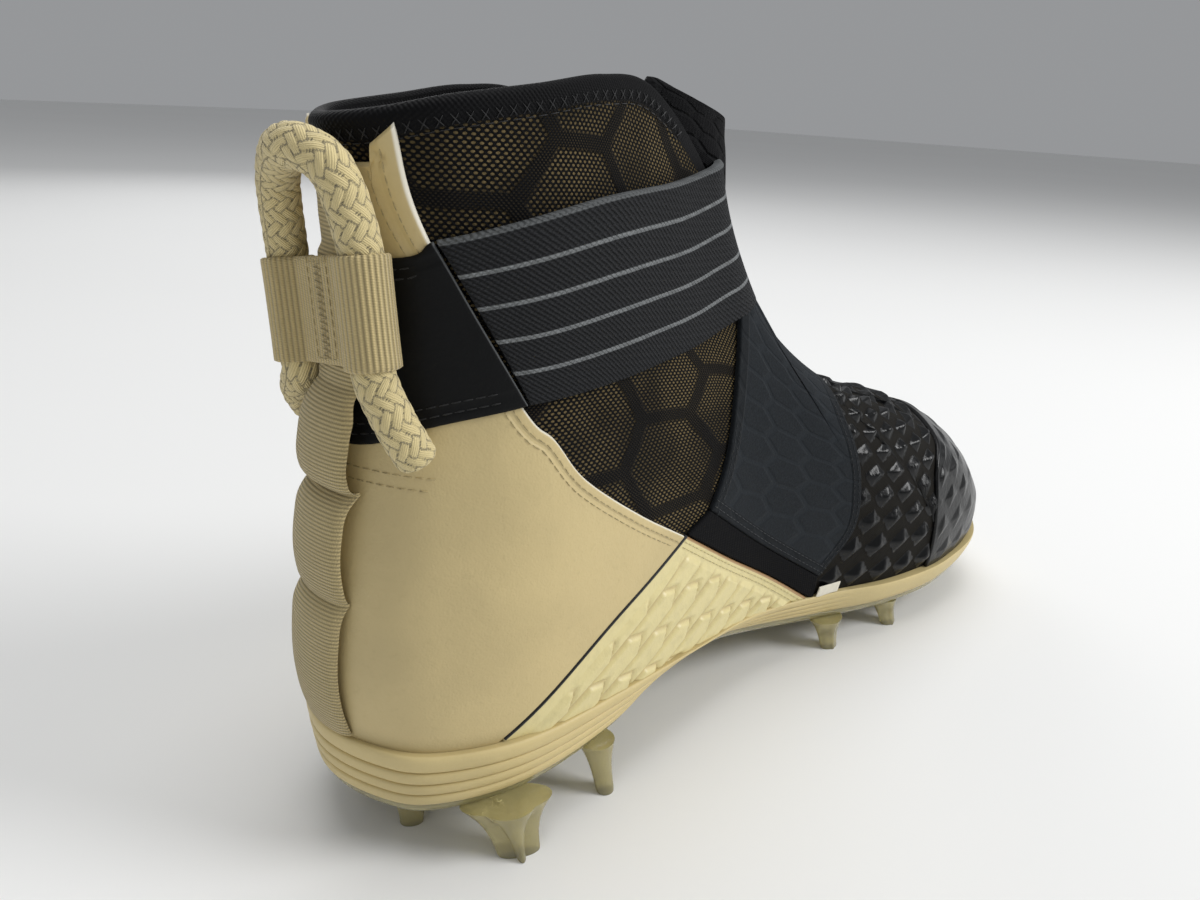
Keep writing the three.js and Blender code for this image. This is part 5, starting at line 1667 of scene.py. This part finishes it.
def ribbon():
    """The flat ribbon down the heel, standing out in three folds between its seams."""
    rows, columns = 420, 15
    bottom, top = HEEL_SEAT + 0.6, up_to(0.825)
    sleeve_bottom = SLEEVE_MIDDLE_Z - SLEEVE_HEIGHT / 2
    z = np.linspace(bottom, top, rows)
    panel_low, panel_high = up_to(0.44), up_to(0.72)
    on_panel = soft_step(z, panel_low - 6, panel_low - 3) * (1 - soft_step(z, panel_high + 3, panel_high + 6))
    backing = 1.6 + (2.9 - 1.6) * on_panel + CLEAR
    drop = (sleeve_bottom - z) / (sleeve_bottom - HEEL_SEAT)
    stand, sag = backing.copy(), np.zeros(rows)
    for start, end, bulge, peak in RIBBON_FOLDS:
        share = (drop - start) / (end - start)
        place = np.where(share < peak, share / peak / 2, 0.5 + (share - peak) / (1 - peak) / 2)
        inside = (share >= 0) & (share < 1)
        full = 1 - np.abs(2 * place - 1) ** 3
        stand = np.where(inside, backing + bulge * RIBBON_BULGE * full, stand)
        sag += np.where(inside, bulge * 1.4 * np.exp(-((share - 0.9) / 0.12) ** 2) * (end < 1), 0)
    neck = soft_step(z, sleeve_bottom - 12, sleeve_bottom - 6)
    half = RIBBON_WIDTH / 2 + (RIBBON_NECK - RIBBON_WIDTH) / 2 * neck
    half = half * (1 - 0.2 * soft_step(z, top - 6, top))
    ripple = 0.25 * np.sin(z / 6.5) * np.clip((sleeve_bottom - z) / 10, 0, 1)
    across = np.linspace(-1, 1, columns)
    y = half[:, None] * across[None, :] + ripple[:, None]
    zz = (z - sag)[:, None] + 0 * y
    lip = 1 - 0.55 * np.abs(across) ** 12

    def face(out):
        x = heel_x(z)[:, None] - stand[:, None] + y * y / (2 * RIBBON_BEND) - out * lip[None, :]
        return np.stack([x, y, zz], -1)

    inner, outer = face(0.0), face(RIBBON_THICKNESS)
    along = length_along(np.stack([z - sag, stand], 1))
    run = np.stack([y, np.repeat(along[:, None], columns, 1), 0 * y], -1)
    look = webbing_paint("ribbed heel ribbon", "ribbon", 0.95, False)
    return slab("folded_heel_ribbon", outer, inner, look, {"run": run}, 60)


# Seams

def course(outline, window, upper_edge):
    """Places along the upper or lower edge of a region, round the last."""
    u = np.linspace(*window, 300)
    low, high, found = spans(outline, u)
    return u[found], (high if upper_edge else low)[found]


def quarter_seams(thread):
    """Chain-stitched rows along the quarter's front edges and the tacks under the cord's ends."""
    rows = []
    pitch, width = sizes().stitch_pitch, sizes().stitch_width
    for side in (-1, 1):
        for offset in (2.3, 4.1):
            line = beside(FRONT_SEAM, -offset)
            rows += seam_stitches(line, side, ON_LEATHER, pitch, pitch * 0.86, width, QUARTER)
        for drop in (0.0, 3.0):
            start, end = TACK - np.array([0, drop])
            tack = start + (end - start) * np.linspace(0, 1, 20)[:, None]
            rows += seam_stitches(tack, side, ON_LEATHER + 0.02, 2.5, 2.2, width * 1.1)
    return sewn("quarter_stitches", rows, thread)


def panel_seams(thread):
    """Double rows along the upper and lower edges of the black base panel."""
    rows = []
    pitch, width = sizes().stitch_pitch, sizes().stitch_width
    for inset in (2.4, 4.6):
        lower = edge(PANEL_BOTTOM) + np.array([0, inset])
        upper = edge(PANEL_TOP) - np.array([0, inset])
        for is_upper in (True, False):
            u, v = course(region(upper, lower), (-0.12, 0.12), is_upper)
            clear = distance_to(PANEL_FRONT, form(u, v)) > 4.0
            u, v = u[clear], v[clear]
            rows += row_of_stitches(u, v, ON_BASE, pitch, pitch * 0.85, width)
    return sewn("base_panel_stitches", rows, thread)


def strap_seams(thread):
    """Rows along the bound edges of the instep strap and the gores."""
    rows = []
    for side in (-1, 1):
        for line in (edge(INSTEP_BACK)[1:], edge(INSTEP_FOOT), edge(INSTEP_FRONT)[:5]):
            for step in (1.6, 3.6):
                rows += seam_stitches(beside(smooth_run(line), step), side, ON_SUEDE, 2.5, 2.1, 0.24)
    return sewn("instep_strap_stitches", rows, thread)


def cage_seams(thread):
    rows = []
    for side in (-1, 1):
        for step in (1.5, 3.2):
            rows += seam_stitches(beside(CAGE_SEAM, -step), side, ON_FILM, 2.4, 2.1, 0.28)
    return sewn("cage_stitches", rows, thread)


def collar_seams(thread):
    """Slanting overlock stitches round the collar's binding."""
    u = np.linspace(-5.6 / RING, 5.6 / RING, 900)
    steps = np.linspace(0, 1, 101)
    rise = run_of(u[:, None], steps[None, :])[..., 1]
    rows = []
    for depth, slant in ((4.4, 0.9), (4.4, -0.9), (6.4, 0.0)):
        v = np.array([np.interp(r[-1] - depth, r, steps) for r in rise])
        height, length = (0.55, 3.0) if slant else (0.2, 2.4)
        rows += row_of_stitches(u, v, height, 3.2, length, 0.26, slant)
    return sewn("collar_stitches", rows, thread)


def sleeve_seams(thread):
    """A zigzag column and the box round it on the web of the sleeve."""
    rows = []
    normal = np.array([-1.0, 0, 0])
    face = heel_x(SLEEVE_MIDDLE_Z) - WEB_STAND - WEB_THICKNESS - 0.25

    def stitch(y0, z0, y1, z1, width=0.3):
        start, end = pull_point(face, y0, z0), pull_point(face, y1, z1)
        rows.append(((start + end) / 2, end - start, normal, np.linalg.norm(end - start) * 0.96, width))

    for z in np.arange(-10.5, 10.4, 1.5):
        stitch(-1.9, z, 1.9, z + 0.75)
        stitch(1.9, z + 0.75, -1.9, z + 1.5)
    for z in np.arange(-10.4, 10.4, 2.3):
        for y in (-4.4, 4.4):
            stitch(y, z, y, z + 1.9, 0.22)
    for y in np.arange(-4.2, 4.0, 2.2):
        for z in (-10.6, 10.8):
            stitch(y, z, y + 1.8, z, 0.22)
    return sewn("sleeve_stitches", rows, thread)


def piping(look):
    """Fine black piping in the seam between the quarter and each cage."""
    parts = []
    for which, side in SIDES:
        u, v = place_on(side, smooth_run(edge(PIPING, 0.3))[:28])
        keep = v > 0.002
        u, v = u[keep], v[keep]
        centre = lay(u, v, np.full(len(u), 1.25))
        parts.append(tube_along(f"cage_piping_{which}", centre, facing(u, v), 0.62, look))
    return parts


# Operators

class CLEAT_OT_sole(bpy.types.Operator):
    """Make the ribbed midsole and the translucent plate with its studs"""

    bl_idname = "cleat.sole"
    bl_label = "Sole"

    def execute(self, context):
        settle(midsole(), ["midsole"])
        settle(sole_plate(), ["outsole"])
        return {"FINISHED"}


class CLEAT_OT_upper(bpy.types.Operator):
    """Make the knit upper with its bound collar, the tongue and the vamp's glossy scales"""

    bl_idname = "cleat.upper"
    bl_label = "Upper"

    def execute(self, context):
        settle(sock(), ["upper"])
        settle(tongue_pad(), ["tongue"])
        look = gloss_paint("glossy vamp scales")
        vamp = laid_panel("vamp_scales", VAMP, (-1, 1), look, 0.02, 0.22, 150, 190,
                          relief=vamp_scales, window=(0.2, 0.5))
        settle(vamp)
        settle(collar_seams(thread_paint("black collar thread", shade(colour("mesh"), 1.7))))
        node = frame["nodes"]["insole"]
        node.data.materials.clear()
        node.data.materials.append(insole_paint())
        return {"FINISHED"}


class CLEAT_OT_quarter(bpy.types.Operator):
    """Make the cream leather quarter round the heel, with its seams and tacks"""

    bl_idname = "cleat.quarter"
    bl_label = "Heel quarter"

    def execute(self, context):
        panel = laid_panel("leather_quarter", QUARTER, (0,), leather_paint(), CLEAR, LEATHER, 420, 110,
                           sizes().cut_edge, {"front": FRONT_SEAM}, window=(-0.3, 0.3))
        settle(panel, ["heel_quarter"])
        settle(quarter_seams(thread_paint("cream thread", shade(colour("leather"), 0.82))))
        return {"FINISHED"}


class CLEAT_OT_cages(bpy.types.Operator):
    """Make the moulded scale cages on both sides, with their piping and seams"""

    bl_idname = "cleat.cages"
    bl_label = "Midfoot cages"

    def execute(self, context):
        look = film_paint()
        for which, side in SIDES:
            panel = laid_panel(f"{which}_scale_cage", CAGE, (side,), look, CLEAR, FILM, 210, 120,
                               sizes().cut_edge, {"top": CAGE_SEAM}, cage_scales)
            settle(panel, [f"{which}_cage"])
        for cord in piping(thread_paint("black piping", colour("black"))):
            settle(cord)
        settle(cage_seams(thread_paint("pale cage thread", shade(colour("film"), 0.9))))
        tab = Paint("white film tab", colour("cut"), 0.4)
        tab.bump(tab.noise(tab.place(), 0.8), 0.1)
        tab.put("Base Color", tab.mix(tab.noise(tab.place(), 0.5), colour("cut"), shade(colour("cut"), 0.85)))
        settle(laid_panel("film_tab", TAB, (-1,), tab.material, 1.75, 0.5, 12, 8, 0.4))
        return {"FINISHED"}


class CLEAT_OT_toe_cap(bpy.types.Operator):
    """Make the glossy toe cap"""

    bl_idname = "cleat.toe_cap"
    bl_label = "Toe cap"

    def execute(self, context):
        look = gloss_paint("glossy toe film")
        cap = laid_panel("glossy_toe_cap", TOE_CAP, (-1, 1), look, CLEAR, LEATHER, 130, 150,
                         sizes().cut_edge, relief=toe_scales, window=(0.3, 0.5))
        settle(cap, ["toe_cap"])
        return {"FINISHED"}


class CLEAT_OT_ankle_strap(bpy.types.Operator):
    """Make the striped elastic ankle strap and the black base panel that it is sewn to"""

    bl_idname = "cleat.ankle_strap"
    bl_label = "Ankle strap"

    def execute(self, context):
        marks = {"front": PANEL_FRONT, "lower": edge(PANEL_BOTTOM), "upper": edge(PANEL_TOP)}
        base = laid_panel("black_base_panel", BASE_PANEL, (0,), black_leather_paint(), 1.9, BASE_LEATHER,
                          260, 60, sizes().cut_edge, marks, window=(-0.25, 0.25))
        settle(base, ["ankle_strap_base"])
        settle(ankle_band(elastic_paint()), ["ankle_strap"])
        settle(panel_seams(thread_paint("black thread", shade(colour("black"), 1.6))))
        return {"FINISHED"}


class CLEAT_OT_instep_strap(bpy.types.Operator):
    """Make the suede instep strap and the stretch gores under its two ends"""

    bl_idname = "cleat.instep_strap"
    bl_label = "Instep strap"

    def execute(self, context):
        strap = laid_panel("suede_instep_strap", INSTEP, (-1, 1), suede_paint(), CLEAR, SUEDE, 150, 150, 0.8,
                           ease=INSTEP_EASE)
        settle(strap, ["instep_strap"])
        look = gore_paint()
        for which, side in SIDES:
            gore = laid_panel(f"{which}_gore", GORE, (side,), look, CLEAR, GORE_CLOTH, 110, 40, 0.8)
            settle(gore, [f"{which}_strap_gore"])
        settle(strap_seams(thread_paint("charcoal thread", shade(colour("suede"), 1.3))))
        return {"FINISHED"}


class CLEAT_OT_heel_pull(bpy.types.Operator):
    """Make the braided cord loop, the woven sleeve that holds it and the folded ribbon"""

    bl_idname = "cleat.heel_pull"
    bl_label = "Heel pull"

    def execute(self, context):
        settle(pull_cord(), ["pull_loop"])
        settle(pull_sleeve(), ["loop_sleeve"])
        settle(ribbon(), ["heel_ribbon"])
        settle(sleeve_seams(thread_paint("sleeve thread", shade(colour("webbing"), 0.75))))
        return {"FINISHED"}


# Where the photograph was taken from, in the last's millimetres and degrees
CAMERA_PLACE = (-89.8445, -190.7408, 186.9805)
CAMERA_AZIMUTH, CAMERA_HEIGHT, CAMERA_ROLL = -44.0114, 20.3562, 3.1543
CAMERA_LENS = 28.2002


def camera_turn():
    """The camera's right, up and back directions as a matrix."""
    a, e, c = (math.radians(v) for v in (CAMERA_AZIMUTH, CAMERA_HEIGHT, CAMERA_ROLL))
    back = Vector((math.sin(a) * math.cos(e), -math.cos(a) * math.cos(e), math.sin(e)))
    right = (-back).cross(Vector((0, 0, 1))).normalized()
    up = right.cross(-back)
    turned_right = right * math.cos(c) + up * math.sin(c)
    turned_up = up * math.cos(c) - right * math.sin(c)
    return Matrix((turned_right, turned_up, back)).transposed()


class CLEAT_OT_stage(bpy.types.Operator):
    """Set the camera where the photograph was taken, the pale floor and the soft lights"""

    bl_idname = "cleat.stage"
    bl_label = "Stage"

    def execute(self, context):
        scene = context.scene
        camera = bpy.data.objects.new("photo_camera", bpy.data.cameras.new("photo_camera"))
        scene.collection.objects.link(camera)
        camera.data.sensor_width = 36
        camera.data.lens = CAMERA_LENS
        camera.data.clip_start = 0.005
        place = Matrix.Translation(Vector(to_metres(CAMERA_PLACE).tolist()))
        camera.matrix_world = place @ camera_turn().to_4x4()
        scene.camera = camera
        bpy.ops.object.select_all(action="DESELECT")
        bpy.ops.mesh.primitive_plane_add(size=14)
        floor = context.active_object
        floor.name = "pale_floor"
        paint = Paint("pale floor", (0.84, 0.84, 0.83), 0.85)
        cloud = paint.noise(paint.place(), 0.002)
        paint.put("Base Color", paint.mix(cloud, (0.85, 0.85, 0.84), (0.82, 0.82, 0.81)))
        floor.data.materials.append(paint.material)
        for name, spot, size, power in (
            ("key_light", (1.1, -1.2, 1.1), 0.9, 23),
            ("top_light", (0.1, 0.2, 1.9), 1.4, 16),
            ("heel_light", (-1.5, -0.6, 0.9), 0.9, 1.2),
            ("far_light", (0.5, 1.5, 0.9), 1.0, 4),
        ):
            light = bpy.data.lights.new(name, "AREA")
            light.shape, light.size, light.energy = "DISK", size, power
            lamp = bpy.data.objects.new(name, light)
            scene.collection.objects.link(lamp)
            lamp.location = spot
            aim = Vector((0.0, 0.0, 0.08)) - Vector(spot)
            lamp.rotation_mode = "QUATERNION"
            lamp.rotation_quaternion = aim.to_track_quat("-Z", "Y")
        scene.view_settings.view_transform = "Standard"
        world = scene.world or bpy.data.worlds.new("studio")
        scene.world = world
        world.use_nodes = True
        back = world.node_tree.nodes["Background"]
        back.inputs["Color"].default_value = (0.95, 0.97, 1.0, 1)
        back.inputs["Strength"].default_value = 0.32
        return {"FINISHED"}


class CLEAT_PT_build(bpy.types.Panel):
    """The shoe's pieces, in the order in which they are made"""

    bl_label = "Cleat"
    bl_idname = "CLEAT_PT_build"
    bl_space_type = "VIEW_3D"
    bl_region_type = "UI"
    bl_category = "Cleat"

    def draw(self, context):
        layout = self.layout
        for group in (context.scene.cleat_sizes, context.scene.cleat_colours):
            box = layout.box()
            for key in type(group).__annotations__:
                box.prop(group, key)
        for step in STEPS:
            layout.operator(step.bl_idname)


STEPS = (CLEAT_OT_sole, CLEAT_OT_upper, CLEAT_OT_quarter, CLEAT_OT_cages, CLEAT_OT_toe_cap,
         CLEAT_OT_ankle_strap, CLEAT_OT_instep_strap, CLEAT_OT_heel_pull, CLEAT_OT_stage)
CLASSES = (CleatSizes, CleatColours, *STEPS, CLEAT_PT_build)


def register():
    for kind in CLASSES:
        bpy.utils.register_class(kind)
    bpy.types.Scene.cleat_sizes = bpy.props.PointerProperty(type=CleatSizes)
    bpy.types.Scene.cleat_colours = bpy.props.PointerProperty(type=CleatColours)


def unregister():
    del bpy.types.Scene.cleat_colours
    del bpy.types.Scene.cleat_sizes
    for kind in reversed(CLASSES):
        bpy.utils.unregister_class(kind)


def main():
    register()
    for step in STEPS:
        space, name = step.bl_idname.split(".")
        getattr(getattr(bpy.ops, space), name)()
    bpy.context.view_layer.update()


if __name__ == "__main__":
    main()
